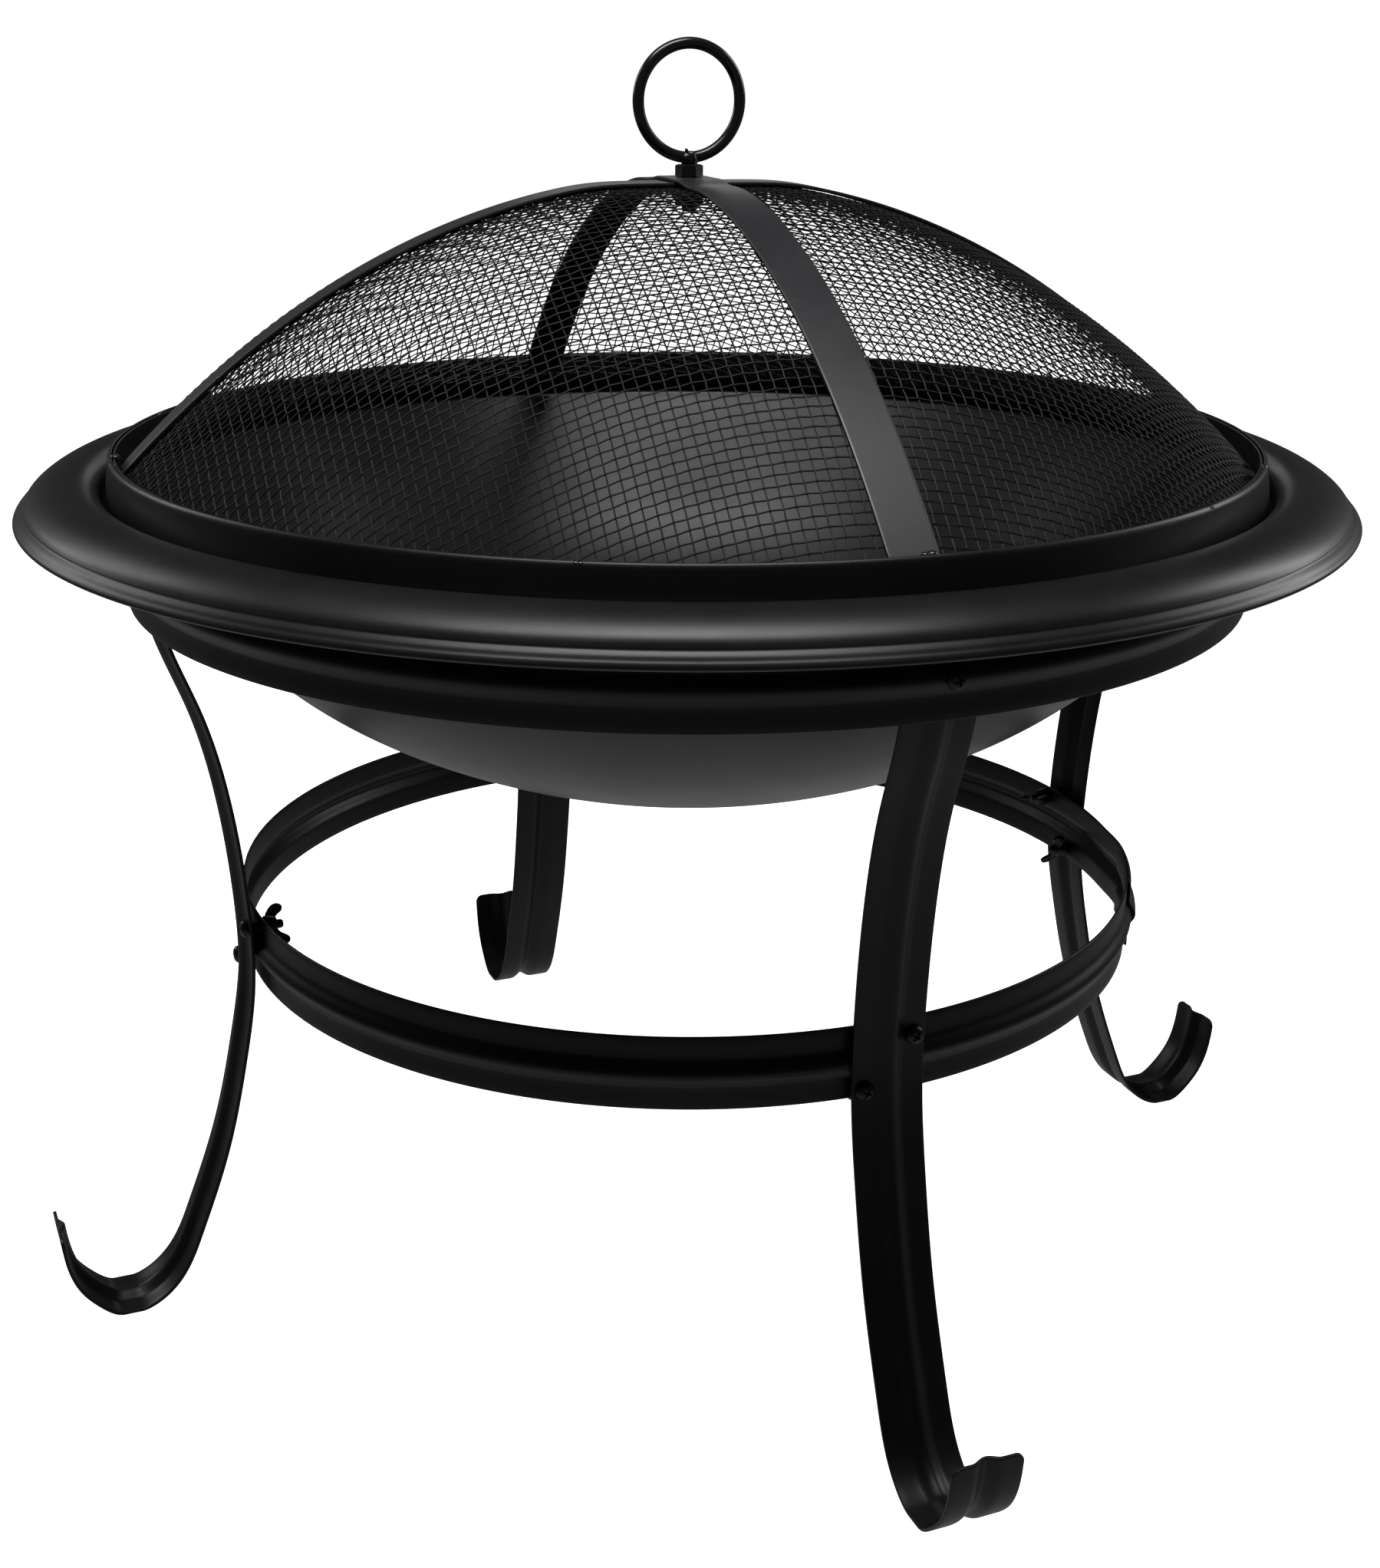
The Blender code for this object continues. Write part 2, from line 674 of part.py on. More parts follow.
def make_screen():
    paint = make_material(*SCREEN_PAINT)
    strap_paint = make_material(*STRAP_PAINT)
    hub_hole = round_bar("cut_hub", HUB_HOLE_RADIUS, HUB_HOLE_RADIUS, STUD_BOTTOM, WELD_TOP)
    into_cutters(hub_hole)
    lift = STRAP_THICKNESS + FIT_GAP
    pieces = [
        make_band("screen_hoop", (HOOP_TOP, HOOP_BOTTOM), HOOP_THICKNESS, paint),
        make_band("screen_inner_hoop", (INNER_HOOP_TOP, INNER_HOOP_BOTTOM), INNER_HOOP_THICKNESS, paint),
        make_screen_mesh(make_material(*WIRE_PAINT)),
        make_strap("strap_under", STRAP_UNDER_BEARING, 0.0, hub_hole, strap_paint),
        make_strap("strap_over", STRAP_OVER_BEARING, lift, hub_hole, strap_paint),
        make_lift_ring(paint),
        *make_hub_fasteners(make_material(*HUB_FINISH)),
    ]
    gather("screen_body", pieces)


clear_scene()
parts = make_collection("fire_pit_with_grate")
cutters = make_collection("cutters", hidden=True)
make_stand()
make_bowl()
make_screen()
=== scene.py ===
import math

import bmesh
import bpy
import numpy as np
from mathutils import Matrix, Vector


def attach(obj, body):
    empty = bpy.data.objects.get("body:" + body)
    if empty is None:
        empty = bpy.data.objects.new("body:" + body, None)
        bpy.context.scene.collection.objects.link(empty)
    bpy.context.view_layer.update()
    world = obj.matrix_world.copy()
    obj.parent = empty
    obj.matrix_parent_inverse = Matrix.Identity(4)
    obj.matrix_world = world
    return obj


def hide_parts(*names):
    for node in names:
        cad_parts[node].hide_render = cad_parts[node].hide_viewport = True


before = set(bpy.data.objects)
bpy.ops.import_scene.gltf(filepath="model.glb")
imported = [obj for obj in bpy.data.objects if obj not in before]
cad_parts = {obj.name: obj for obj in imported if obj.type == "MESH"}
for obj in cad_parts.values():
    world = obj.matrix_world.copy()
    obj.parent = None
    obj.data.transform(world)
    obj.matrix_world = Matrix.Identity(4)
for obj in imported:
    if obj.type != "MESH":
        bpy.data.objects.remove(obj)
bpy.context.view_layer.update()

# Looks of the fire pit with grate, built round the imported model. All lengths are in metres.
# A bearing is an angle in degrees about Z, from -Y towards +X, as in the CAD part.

# Stand
LEG_NAMES = ("front", "right", "back", "left")
FIRST_LEG_BEARING = 22.3
LEG_WIDTH = 0.030
LEG_THICKNESS = 0.0015
# Middle of the leg's sheet, as (radius, height), from its top down to the tip of the foot.
LEG_PATH = (
    (0.2319, 0.3280),
    (0.2319, 0.3230),
    (0.2280, 0.2990),
    (0.2170, 0.2680),
    (0.2075, 0.2270),
    (0.2028, 0.1810),
    (0.2028, 0.1450),
    (0.2082, 0.1120),
    (0.2184, 0.0703),
    (0.2325, 0.0320),
    (0.2425, 0.0124),
    (0.2590, 0.00078),
    (0.2690, 0.00078),
    (0.2770, 0.0065),
    (0.2840, 0.0150),
    (0.2885, 0.0265),
    (0.2905, 0.0415),
)
LEG_CORNER = 0.0040
LEG_SOLE = 0.00078
LEG_TIP_BEAD = 0.75
LEG_TIP_FADE = 0.030
LEG_STEP = 0.0022
LEG_CURVE_STEPS = 24
BEAD_WIDTH = 0.0128
BEAD_HEIGHT = 0.0029
BEAD_POINTS = 17
EDGE_ROUND = 0.0004
FLAT_POINTS = 4
RING_THICKNESS = 0.0012
RING_STEPS = 288
RING_STEP = 0.0042
RING_CORNER = 0.0012
UPPER_RING_RADIUS = 0.2369
UPPER_RING_BOTTOM = 0.3056
UPPER_RING_TOP = 0.3346
UPPER_BEAD_MIDDLE = 0.3210
LOWER_RING_RADIUS = 0.1980
LOWER_RING_MIDDLE = 0.1600
LOWER_RING_WIDTH = 0.030
LOWER_RING_SEAM_BEARING = 77.5
LOWER_RING_OVERLAP = 12.0
LOWER_RING_JOGGLE = 8.0
LOWER_RING_STEP_OUT = 0.0016

# Fasteners
HEAD_RADIUS = 0.0038
HEAD_HEIGHT = 0.0024
BOLT_RADIUS = 0.002
THREAD_PITCH = 0.0007
THREAD_DEPTH = 0.00022
THREAD_STEPS = 24
THREAD_ROWS_PER_TURN = 8
THREAD_STEEPNESS = 1.5
THREAD_TIP_LENGTH = 1.2 * THREAD_PITCH
THREAD_TIP_TAPER = 0.0006
NUT_FLATS = 0.007
NUT_HEIGHT = 0.0032
SCREW_STEPS = 48
NUT_STEPS = 96
NUT_FACE_SHARE = 0.965
NUT_CHAMFER = 30.0
HOLE_EASE = 0.0004
# The cross recess at its bottom and above its mouth: half length, half width and height.
RECESS_BOTTOM = (0.0013, 0.00028, 0.0009)
RECESS_MOUTH = (0.0024, 0.00046, HEAD_HEIGHT + 0.0006)
UPPER_HEAD_FACE = 0.2408
UPPER_BOLT_LENGTH = 0.0143
UPPER_NUT_FACE = 0.2308
LOWER_HEAD_FACE = 0.20385
LOWER_BOLT_LENGTH = 0.01585
LOWER_NUT_FACE = 0.1962
LOWER_BOLT_OFFSET = 0.010
HEAD_TURNS = (12.0, 31.0, 64.0, 80.0)
UPPER_NUT_TURN_SHARE = 0.7
LOWER_HEAD_TURN = 40.0
WING_HUB_RADIUS = 0.0042
WING_HUB_END_RADIUS = 0.0034
WING_HUB_HEIGHT = 0.0055
WING_HALF_THICKNESS = 0.00085
WING_VOXEL = 0.00034
WING_HUB_STEPS = 32
# One wing's outline, as (distance from the nut's axis, distance behind its seat).
WING_OUTLINE = (
    (0.0026, 0.0010),
    (0.0050, 0.0014),
    (0.0078, 0.0030),
    (0.0101, 0.0052),
    (0.0106, 0.0078),
    (0.0092, 0.0095),
    (0.0071, 0.0091),
    (0.0052, 0.0068),
    (0.0026, 0.0052),
)
# Thicker lumps of one wing: place, radii and turn.
WING_LUMPS = (
    ((0.0088, 0.0, -0.0069), (0.0016, 0.00135, 0.0025), 0.35),
    ((0.0048, 0.0, -0.0037), (0.0030, 0.0012, 0.0018), 0.5),
)
# Turn of each leg's two wing nuts about their own bolts, in degrees.
WING_TURNS = ((20.0, 8.0), (75.0, 35.0), (110.0, 150.0), (60.0, 5.0))

# Bowl
BOWL_THICKNESS = 0.001
BOWL_STEPS = 288
DISH_STEPS = 40
KNUCKLE_STEPS = 20
RIM_CURVE_STEPS = 7
LIP_CURVE_STEPS = 5
DISH_RADIUS = 0.3090
DISH_MIDDLE_HEIGHT = 0.5226
DISH_EDGE_RADIUS = 0.150
KNUCKLE_RADIUS = 0.186
WALL_LEAN = 50.5
# Middle of the rim's sheet, as (radius, height), from the mouth over the arch to the rolled edge.
RIM_PATH = (
    (0.2250, 0.3233),
    (0.2370, 0.3379),
    (0.2402, 0.3418),
    (0.2412, 0.3430),
    (0.2424, 0.3437),
    (0.2438, 0.3440),
    (0.2451, 0.3456),
    (0.2463, 0.3502),
    (0.2500, 0.3538),
    (0.2555, 0.3553),
    (0.2615, 0.3548),
    (0.2672, 0.3528),
    (0.2716, 0.3501),
    (0.2741, 0.3477),
    (0.2751, 0.3461),
)
# Outside of the rim's lip, from the crease below the arch round to the curl under it.
RIM_LIP = (
    (0.2758, 0.3458),
    (0.2763, 0.3453),
    (0.2770, 0.3447),
    (0.2777, 0.3440),
    (0.2785, 0.3430),
    (0.2791, 0.3424),
    (0.2796, 0.3417),
    (0.2799, 0.3409),
    (0.2796, 0.3401),
    (0.2788, 0.3397),
    (0.2778, 0.3398),
    (0.2768, 0.3404),
    (0.2758, 0.3413),
    (0.2752, 0.3424),
    (0.2748, 0.3440),
)

# Spark screen
HOOP_STEPS = 256
# Middle of each hoop's band, as (radius, height), from its top down.
HOOP_PATH = (
    (0.2401, 0.3644),
    (0.2405, 0.3640),
    (0.2408, 0.3635),
    (0.2410, 0.3625),
    (0.2415, 0.3580),
    (0.2423, 0.3515),
    (0.2430, 0.3449),
)
HOOP_THICKNESS = 0.0012
INNER_HOOP_PATH = ((0.2386, 0.3640), (0.2393, 0.3594), (0.2398, 0.3547), (0.2404, 0.3500))
INNER_HOOP_THICKNESS = 0.0010
TACK_BEARINGS = (-37.5, -8.5, 20.5, 52.5, 73.5, 109.0, 140.0, 168.0, 199.0, 230.0, 260.0, 289.0)
TACK_REACH = 0.2397
TACK_HEIGHT = 0.3640
TACK_SHIFTS = (-0.0009, 0.0007)
TACK_RADII = (0.00135, 0.00135, 0.00095)
TACK_REACH_SPREAD = 0.0003
TACK_SHIFT_SPREAD = 0.0004
TACK_SMALLEST = 0.85
TACK_SIZE_SPREAD = 0.3
# Each bar's end welds: reach and height, then each lump's shift sideways and its size.
BAR_WELD_REACH = 0.2381
BAR_WELD_HEIGHT = 0.3644
BAR_WELD_LUMPS = ((-0.0014, 0.0017), (0.0012, 0.0021))
BAR_WELD_FLATNESS = 0.75
SCREEN_THICKNESS = 0.0009
SCREEN_APEX = 0.4690
SCREEN_FALL = 0.1060
SCREEN_EDGE_FALL = 0.0110
SCREEN_UNIT_RADIUS = 0.240
SCREEN_HUB_HEIGHT = 0.4660
SCREEN_FLAT_HEIGHT = 0.4664
SCREEN_FLAT_EASE = 0.0008
WEAVE_BEARING = 15.5
WEAVE_PITCH = 0.0047
WEAVE_HALF_STEPS = 122
WEAVE_REACH = 0.2391
WEAVE_LIMIT = WEAVE_REACH + 2.5 * WEAVE_PITCH
WEAVE_ROUNDS = 3
WEAVE_WIRE_RADIUS = 0.00032
WEAVE_LIFT = 0.00028
WEAVE_SIDES = 5
WEAVE_SHORTEST_END = 0.15
STRAP_OVER_BEARING = 19.0
STRAP_UNDER_BEARING = 105.0
BAR_WELD_BEARINGS = (
    STRAP_OVER_BEARING + 0.6,
    STRAP_OVER_BEARING + 180.0,
    STRAP_UNDER_BEARING,
    STRAP_UNDER_BEARING + 180.0,
)
STRAP_WIDTH = 0.019
STRAP_THICKNESS = 0.0015
STRAP_END_RADIUS = 0.2345
STRAP_GAP = 0.0003
STRAP_STAND_OFF = 0.0015
STRAP_STATIONS = 180
STRAP_CROSSING_HEIGHT = 0.4695
STRAP_LEVEL_REACH = 0.0115
STRAP_JOGGLE_END = 0.0260
STRAP_ROUNDING = 0.00045
STRAP_FLAT_INSET = 0.0004
# Within each distance of a bar's end: what its half width loses, and its share of thickness.
STRAP_ENDS = ((0.0003, 0.0012, 0.6), (0.0030, 0.0003, 1.0))

# Lifting ring and its fasteners
LIFT_RING_RADIUS = 0.0223
LIFT_RING_WIRE = 0.00235
LIFT_RING_HEIGHT = 0.5004
LIFT_RING_BEARING = 112.0
LIFT_RING_STEPS = 192
LIFT_RING_SIDES = 32
STUD_RADIUS = 0.003
STUD_BOTTOM = 0.4565
STUD_STEPS = 32
STUD_CHAMFER = 0.0005
WELD_BOTTOM = 0.4756
STUD_TOP = WELD_BOTTOM + 0.0006
WELD_TOP = 0.4802
WELD_MIDDLE = (WELD_BOTTOM + WELD_TOP) / 2
WELD_VOXEL = 0.0003
# Lumps of the weld that joins the ring to its stud: place, radii and turn.
WELD_LUMPS = (
    ((0.0, 0.0, WELD_MIDDLE), (0.0030, 0.0034, 0.0029), 0.0),
    ((0.0024, 0.0004, WELD_MIDDLE - 0.0004), (0.0021, 0.0027, 0.0023), 0.0),
    ((-0.0022, -0.0004, WELD_MIDDLE - 0.0002), (0.0020, 0.0028, 0.0024), 0.0),
    ((0.0004, -0.0019, WELD_MIDDLE - 0.0006), (0.0021, 0.0019, 0.0036), 0.0),
    ((-0.0016, -0.0014, WELD_MIDDLE + 0.0027), (0.0008, 0.0008, 0.0014), -0.4),
)
HUB_NUT_FLATS = 0.010
HUB_NUT_HEIGHT = 0.0050
HUB_WASHER_HOLE = STUD_RADIUS + 0.0004
HUB_WASHER_RADIUS = 0.009
HUB_WASHER_HEIGHT = 0.0012
HUB_WASHER_STEPS = 64

SMOOTH_ANGLE = 38.0
MERGE_DISTANCE = 1e-7
BALL_RINGS = 10
BALL_STEPS = 16
BALL_POLE_GAP = 0.001
SMALL_CURVE_STEPS = 4
ROUND_EDGE_POINTS = 5
# Distances from a strip's end where its rounded corner has its points.
END_PLACES = (0.0, 0.00012, 0.0003, 0.0006, 0.001, 0.0015, 0.0021, 0.0028, 0.0036, 0.005)
END_THINNEST = 0.45
END_THINNED = 0.0004
HALVINGS = 40
SEED = 11


# Shapes


def placed(name, data, matrix=None):
    """Puts a mesh, camera or light in the scene."""
    item = bpy.data.objects.new(name, data)
    bpy.context.scene.collection.objects.link(item)
    if matrix is not None:
        item.matrix_world = matrix
    return item


def ready(mesh, material):
    """Makes a mesh smooth but for its sharp edges, and gives it its finish."""
    mesh.shade_smooth()
    mesh.set_sharp_from_angle(angle=math.radians(SMOOTH_ANGLE))
    mesh.materials.clear()
    if material is not None:
        mesh.materials.append(material)
    return mesh


def add_object(name, mesh, material):
    return placed(name, ready(mesh, material))


def mesh_from(name, points, faces):
    """A mesh with its doubled points merged and its faces turned outward."""
    raw = bpy.data.meshes.new(name)
    raw.from_pydata([tuple(point) for point in points], [], faces)
    shape = bmesh.new()
    shape.from_mesh(raw)
    bmesh.ops.remove_doubles(shape, verts=shape.verts, dist=MERGE_DISTANCE)
    bmesh.ops.dissolve_degenerate(shape, edges=shape.edges, dist=MERGE_DISTANCE)
    bmesh.ops.recalc_face_normals(shape, faces=shape.faces)
    shape.to_mesh(raw)
    shape.free()
    return raw


def loft(loops, closed, pairs=False):
    """Points and faces of a skin over closed loops; pairs caps a strip's two ends with quads."""
    loops = np.asarray(loops, float)
    count, size = loops.shape[:2]
    faces = []
    for near in range(count if closed else count - 1):
        far = (near + 1) % count
        for index in range(size):
            after = (index + 1) % size
            faces.append(
                (near * size + index, near * size + after, far * size + after, far * size + index)
            )
    if not closed and pairs:
        for start in (0, (count - 1) * size):
            for index in range(size // 2 - 1):
                last = start + size - 1 - index
                faces.append((start + index, start + index + 1, last - 1, last))
    if not closed and not pairs:
        faces.append(tuple(range(size)))
        faces.append(tuple(range((count - 1) * size, count * size)))
    return loops.reshape(-1, 3), faces


def turned_parts(profile, steps):
    """Points and faces of a closed (radius, height) profile turned about Z."""
    profile = np.asarray(profile, float)
    angles = np.arange(steps) * 2.0 * math.pi / steps
    loops = np.empty((steps, len(profile), 3))
    loops[:, :, 0] = np.cos(angles)[:, None] * profile[None, :, 0]
    loops[:, :, 1] = np.sin(angles)[:, None] * profile[None, :, 0]
    loops[:, :, 2] = profile[None, :, 1]
    return loft(loops, True)


def joined(parts):
    """One set of points and faces from several."""
    points = []
    faces = []
    for some_points, some_faces in parts:
        start = len(points)
        points.extend(some_points)
        faces.extend(tuple(start + index for index in face) for face in some_faces)
    return points, faces


def spline(knots, per_span):
    """Points on the natural cubic spline through the knots."""
    knots = np.asarray(knots, float)
    count = len(knots)
    spans = np.linalg.norm(np.diff(knots, axis=0), axis=1)
    system = np.eye(count)
    target = np.zeros_like(knots)
    for index in range(1, count - 1):
        before = spans[index - 1]
        after = spans[index]
        system[index, index - 1 : index + 2] = (before, 2.0 * (before + after), after)
        leaving = (knots[index + 1] - knots[index]) / after
        arriving = (knots[index] - knots[index - 1]) / before
        target[index] = 6.0 * (leaving - arriving)
    bend = np.linalg.solve(system, target)
    points = []
    for index in range(count - 1):
        room = spans[index] ** 2 / 6.0
        for step in range(per_span):
            far = step / per_span
            near = 1.0 - far
            place = near * knots[index] + far * knots[index + 1]
            place = place + (near**3 - near) * bend[index] * room
            points.append(place + (far**3 - far) * bend[index + 1] * room)
    points.append(knots[-1])
    return np.array(points)


def along(path, places):
    """Points of a path at these distances along it, and the directions there."""
    path = np.asarray(path, float)
    reach = np.concatenate([[0.0], np.cumsum(np.linalg.norm(np.diff(path, axis=0), axis=1))])
    slopes = np.gradient(path, reach, axis=0)
    points = np.stack([np.interp(places, reach, path[:, axis]) for axis in (0, 1)], axis=1)
    ways = np.stack([np.interp(places, reach, slopes[:, axis]) for axis in (0, 1)], axis=1)
    ways /= np.linalg.norm(ways, axis=1)[:, None]
    return points, ways


def path_length(path):
    return float(np.linalg.norm(np.diff(np.asarray(path, float), axis=0), axis=1).sum())


def sheet_sides(path, thickness):
    """The two sides of a sheet whose middle follows a smooth path of (radius, height) points."""
    path = np.asarray(path, float)
    ways = np.gradient(path, axis=0)
    ways /= np.linalg.norm(ways, axis=1)[:, None]
    across = np.stack([-ways[:, 1], ways[:, 0]], axis=1) * thickness / 2
    return path + across, path - across


def round_end(side_a, side_b, way):
    """Points of a half-round edge from the end of one side of a sheet to the end of the other."""
    middle = (side_a + side_b) / 2
    arm = side_a - middle
    bulge = np.asarray(way) * np.linalg.norm(arm)
    angles = [math.pi * (index + 1) / (ROUND_EDGE_POINTS + 1) for index in range(ROUND_EDGE_POINTS)]
    return [middle + arm * math.cos(angle) + bulge * math.sin(angle) for angle in angles]


def band_profile(path, thickness):
    """A closed profile round a band with half-round edges."""
    upper, lower = sheet_sides(path, thickness)
    end = (path[-1] - path[-2]) / np.linalg.norm(path[-1] - path[-2])
    start = (path[0] - path[1]) / np.linalg.norm(path[0] - path[1])
    loop = list(upper)
    loop += round_end(upper[-1], lower[-1], end)
    loop += list(lower[::-1])
    loop += round_end(lower[0], upper[0], start)
    return np.array(loop)


def bead_rise(place, middle):
    """Height and slope of the pressed bead at a place across a strip."""
    share = (place - middle) / (BEAD_WIDTH / 2)
    if abs(share) >= 1.0:
        return 0.0, 0.0
    rise = BEAD_HEIGHT * 0.5 * (1.0 + math.cos(math.pi * share))
    slope = -BEAD_HEIGHT * 0.5 * math.sin(math.pi * share) * math.pi / (BEAD_WIDTH / 2)
    return rise, slope


def strip_loop(low, high, middle, thickness, room=1.0, bead=1.0):
    """A closed loop of (place, rise) points round a strip with one bead and rounded edges."""
    rounding = EDGE_ROUND
    places = list(np.linspace(low + rounding, middle - BEAD_WIDTH / 2, FLAT_POINTS)[:-1])
    places += list(np.linspace(middle - BEAD_WIDTH / 2, middle + BEAD_WIDTH / 2, BEAD_POINTS))
    places += list(np.linspace(middle + BEAD_WIDTH / 2, high - rounding, FLAT_POINTS)[1:])
    half = thickness / 2 * room
    corner = []
    for angle in (90.0, 60.0, 30.0):
        turn = math.radians(angle)
        off = half - rounding * room * (1 - math.cos(turn))
        corner.append((rounding * (1 - math.sin(turn)), off))
    chain = [(low + inward, off) for inward, off in corner]
    chain += [(place, half) for place in places]
    chain += [(high - inward, off) for inward, off in reversed(corner)]
    loop = []
    for sign, points in ((1.0, chain), (-1.0, chain[::-1])):
        for place, off in points:
            rise, slope = bead_rise(place, middle)
            rise *= bead
            slope *= bead
            size = math.hypot(1.0, slope)
            loop.append((place - sign * off * slope / size, rise + sign * off / size))
    return np.array(loop)


def radial_frame(bearing):
    """Turns X to the outward direction at a bearing, Y to the sideways one, and keeps Z."""
    return Matrix.Rotation(math.radians(bearing - 90.0), 4, "Z")


def facing_out(bearing, radius, sideways, height, turn):
    """Places a piece that stands along Z so that its Z points outward at a bearing."""
    return (
        radial_frame(bearing)
        @ Matrix.Translation((radius, sideways, height))
        @ Matrix.Rotation(math.pi / 2, 4, "Y")
        @ Matrix.Rotation(math.radians(turn), 4, "Z")
    )


def end_places(length, step):
    """Distances along a strip, close together at its ends for their rounded corners."""
    close = [place for place in END_PLACES if place < length / 3]
    count = max(int((length - 2 * close[-1]) / step), 2)
    middle = np.linspace(close[-1], length - close[-1], count + 1)[1:-1]
    return np.array(close + list(middle) + [length - place for place in reversed(close)])


def end_shape(place, length, corner):
    """How much of the half width a rounded corner takes off, and the sheet's share of thickness."""
    room = min(place, length - place)
    taken = 0.0
    if room < corner:
        taken = corner - math.sqrt(corner**2 - (corner - room) ** 2)
    full = math.sqrt(min(room / END_THINNED, 1.0))
    thickness = min(1.0, END_THINNEST + (1.0 - END_THINNEST) * full)
    return taken, thickness


def leg_parts():
    """Points and faces of a leg that stands along X, its bead outward."""
    path = spline(LEG_PATH, LEG_CURVE_STEPS)
    path[:, 1] = np.maximum(path[:, 1], LEG_SOLE)
    length = path_length(path)
    places = end_places(length, LEG_STEP)
    points, ways = along(path, places)
    loops = []
    for place, point, way in zip(places, points, ways):
        taken, room = end_shape(place, length, LEG_CORNER)
        half = LEG_WIDTH / 2 - taken
        outward = np.array([-way[1], way[0]])
        bead = LEG_TIP_BEAD + (1.0 - LEG_TIP_BEAD) * min((length - place) / LEG_TIP_FADE, 1.0)
        loop = strip_loop(-half, half, 0.0, LEG_THICKNESS, room, bead)
        radial = point[0] + loop[:, 1] * outward[0]
        height = point[1] + loop[:, 1] * outward[1]
        loops.append(np.stack([radial, loop[:, 0], height], axis=1))
    return loft(loops, False, pairs=True)


def upper_ring_mesh():
    loop = strip_loop(UPPER_RING_BOTTOM, UPPER_RING_TOP, UPPER_BEAD_MIDDLE, RING_THICKNESS)
    profile = np.stack([UPPER_RING_RADIUS + loop[:, 1], loop[:, 0]], axis=1)
    return mesh_from("upper_ring_strip", *turned_parts(profile, RING_STEPS))


def lower_ring_radius(turned_from_seam):
    """Radius of the sheet's middle: the outer end steps out over the inner end."""
    stepped_in = LOWER_RING_OVERLAP + 1.0 + LOWER_RING_JOGGLE
    share = min(max((stepped_in - turned_from_seam) / LOWER_RING_JOGGLE, 0.0), 1.0)
    return LOWER_RING_RADIUS + LOWER_RING_STEP_OUT * share * share * (3.0 - 2.0 * share)


def lower_ring_mesh():
    """A strip rolled a little over one full turn, its ends lapped at the seam."""
    sweep = math.radians(360.0 + LOWER_RING_OVERLAP)
    length = sweep * LOWER_RING_RADIUS
    half = LOWER_RING_WIDTH / 2
    loops = []
    for place in end_places(length, RING_STEP):
        taken, room = end_shape(place, length, RING_CORNER)
        turn = place / LOWER_RING_RADIUS
        bearing = math.radians(LOWER_RING_SEAM_BEARING - 90.0) + turn
        middle = LOWER_RING_MIDDLE
        loop = strip_loop(middle - half + taken, middle + half - taken, middle, RING_THICKNESS, room)
        radius = lower_ring_radius(math.degrees(turn)) + loop[:, 1]
        loops.append(
            np.stack([radius * math.cos(bearing), radius * math.sin(bearing), loop[:, 0]], axis=1)
        )
    return mesh_from("lower_ring_strip", *loft(loops, False, pairs=True))


def thread_parts(radius, length):
    """A threaded rod along Z from z = 0 down to z = -length, with a chamfered end."""
    count = int(length / THREAD_PITCH * THREAD_ROWS_PER_TURN)
    loops = []
    for row in range(count + 1):
        deep = length * row / count
        from_tip = min((length - deep) / THREAD_TIP_LENGTH, 1.0)
        loop = []
        for step in range(THREAD_STEPS):
            angle = 2.0 * math.pi * step / THREAD_STEPS
            phase = (deep / THREAD_PITCH - step / THREAD_STEPS) % 1.0
            tooth = 1.0 - abs(2.0 * phase - 1.0)
            reach = radius - THREAD_DEPTH * (1.0 - min(tooth * THREAD_STEEPNESS, 1.0))
            reach -= THREAD_TIP_TAPER * (1.0 - from_tip)
            loop.append((reach * math.cos(angle), reach * math.sin(angle), -deep))
        loops.append(loop)
    return loft(loops, False)


def baked(item, helpers=()):
    """The mesh of an object with its modifiers applied; the object and its helpers then go."""
    graph = bpy.context.evaluated_depsgraph_get()
    mesh = bpy.data.meshes.new_from_object(item.evaluated_get(graph))
    mesh.name = item.name
    for used in (item, *helpers):
        bpy.data.objects.remove(used, do_unlink=True)
    return mesh


def screw_mesh(name, length):
    """A pan head with a cross recess and a threaded shaft, seated at z = 0 with its head above."""
    crown = spline(
        (
            (0.0, HEAD_HEIGHT),
            (0.0013, HEAD_HEIGHT * 0.985),
            (0.0024, HEAD_HEIGHT * 0.88),
            (0.0032, HEAD_HEIGHT * 0.64),
            (0.00368, HEAD_HEIGHT * 0.30),
            (HEAD_RADIUS, HEAD_HEIGHT * 0.06),
        ),
        SMALL_CURVE_STEPS,
    )
    profile = [*crown, (HEAD_RADIUS - 0.0002, 0.0), (0.0, 0.0)]
    head = add_object(name, mesh_from(name, *turned_parts(profile, SCREW_STEPS)), None)
    recess = bmesh.new()
    for turn in (0.0, math.pi / 2):
        made = bmesh.ops.create_cube(recess, size=1.0)
        for vertex in made["verts"]:
            long_half, wide_half, level = RECESS_BOTTOM if vertex.co.z < 0 else RECESS_MOUTH
            vertex.co.x *= 2.0 * long_half
            vertex.co.y *= 2.0 * wide_half
            vertex.co.z = level
        turned_by = Matrix.Rotation(turn, 4, "Z")
        bmesh.ops.transform(recess, matrix=turned_by, verts=made["verts"])
    pair = bpy.data.meshes.new("recess")
    recess.to_mesh(pair)
    recess.free()
    cutter = add_object("recess", pair, None)
    cut = head.modifiers.new("Recess", "BOOLEAN")
    cut.operation = "DIFFERENCE"
    cut.solver = "EXACT"
    cut.use_self = True
    cut.object = cutter
    mesh = baked(head, (cutter,))
    shape = bmesh.new()
    shape.from_mesh(mesh)
    points, faces = thread_parts(BOLT_RADIUS, length)
    added = [shape.verts.new(point) for point in points]
    for face in faces:
        shape.faces.new([added[index] for index in face])
    bmesh.ops.recalc_face_normals(shape, faces=shape.faces)
    shape.to_mesh(mesh)
    shape.free()
    return mesh


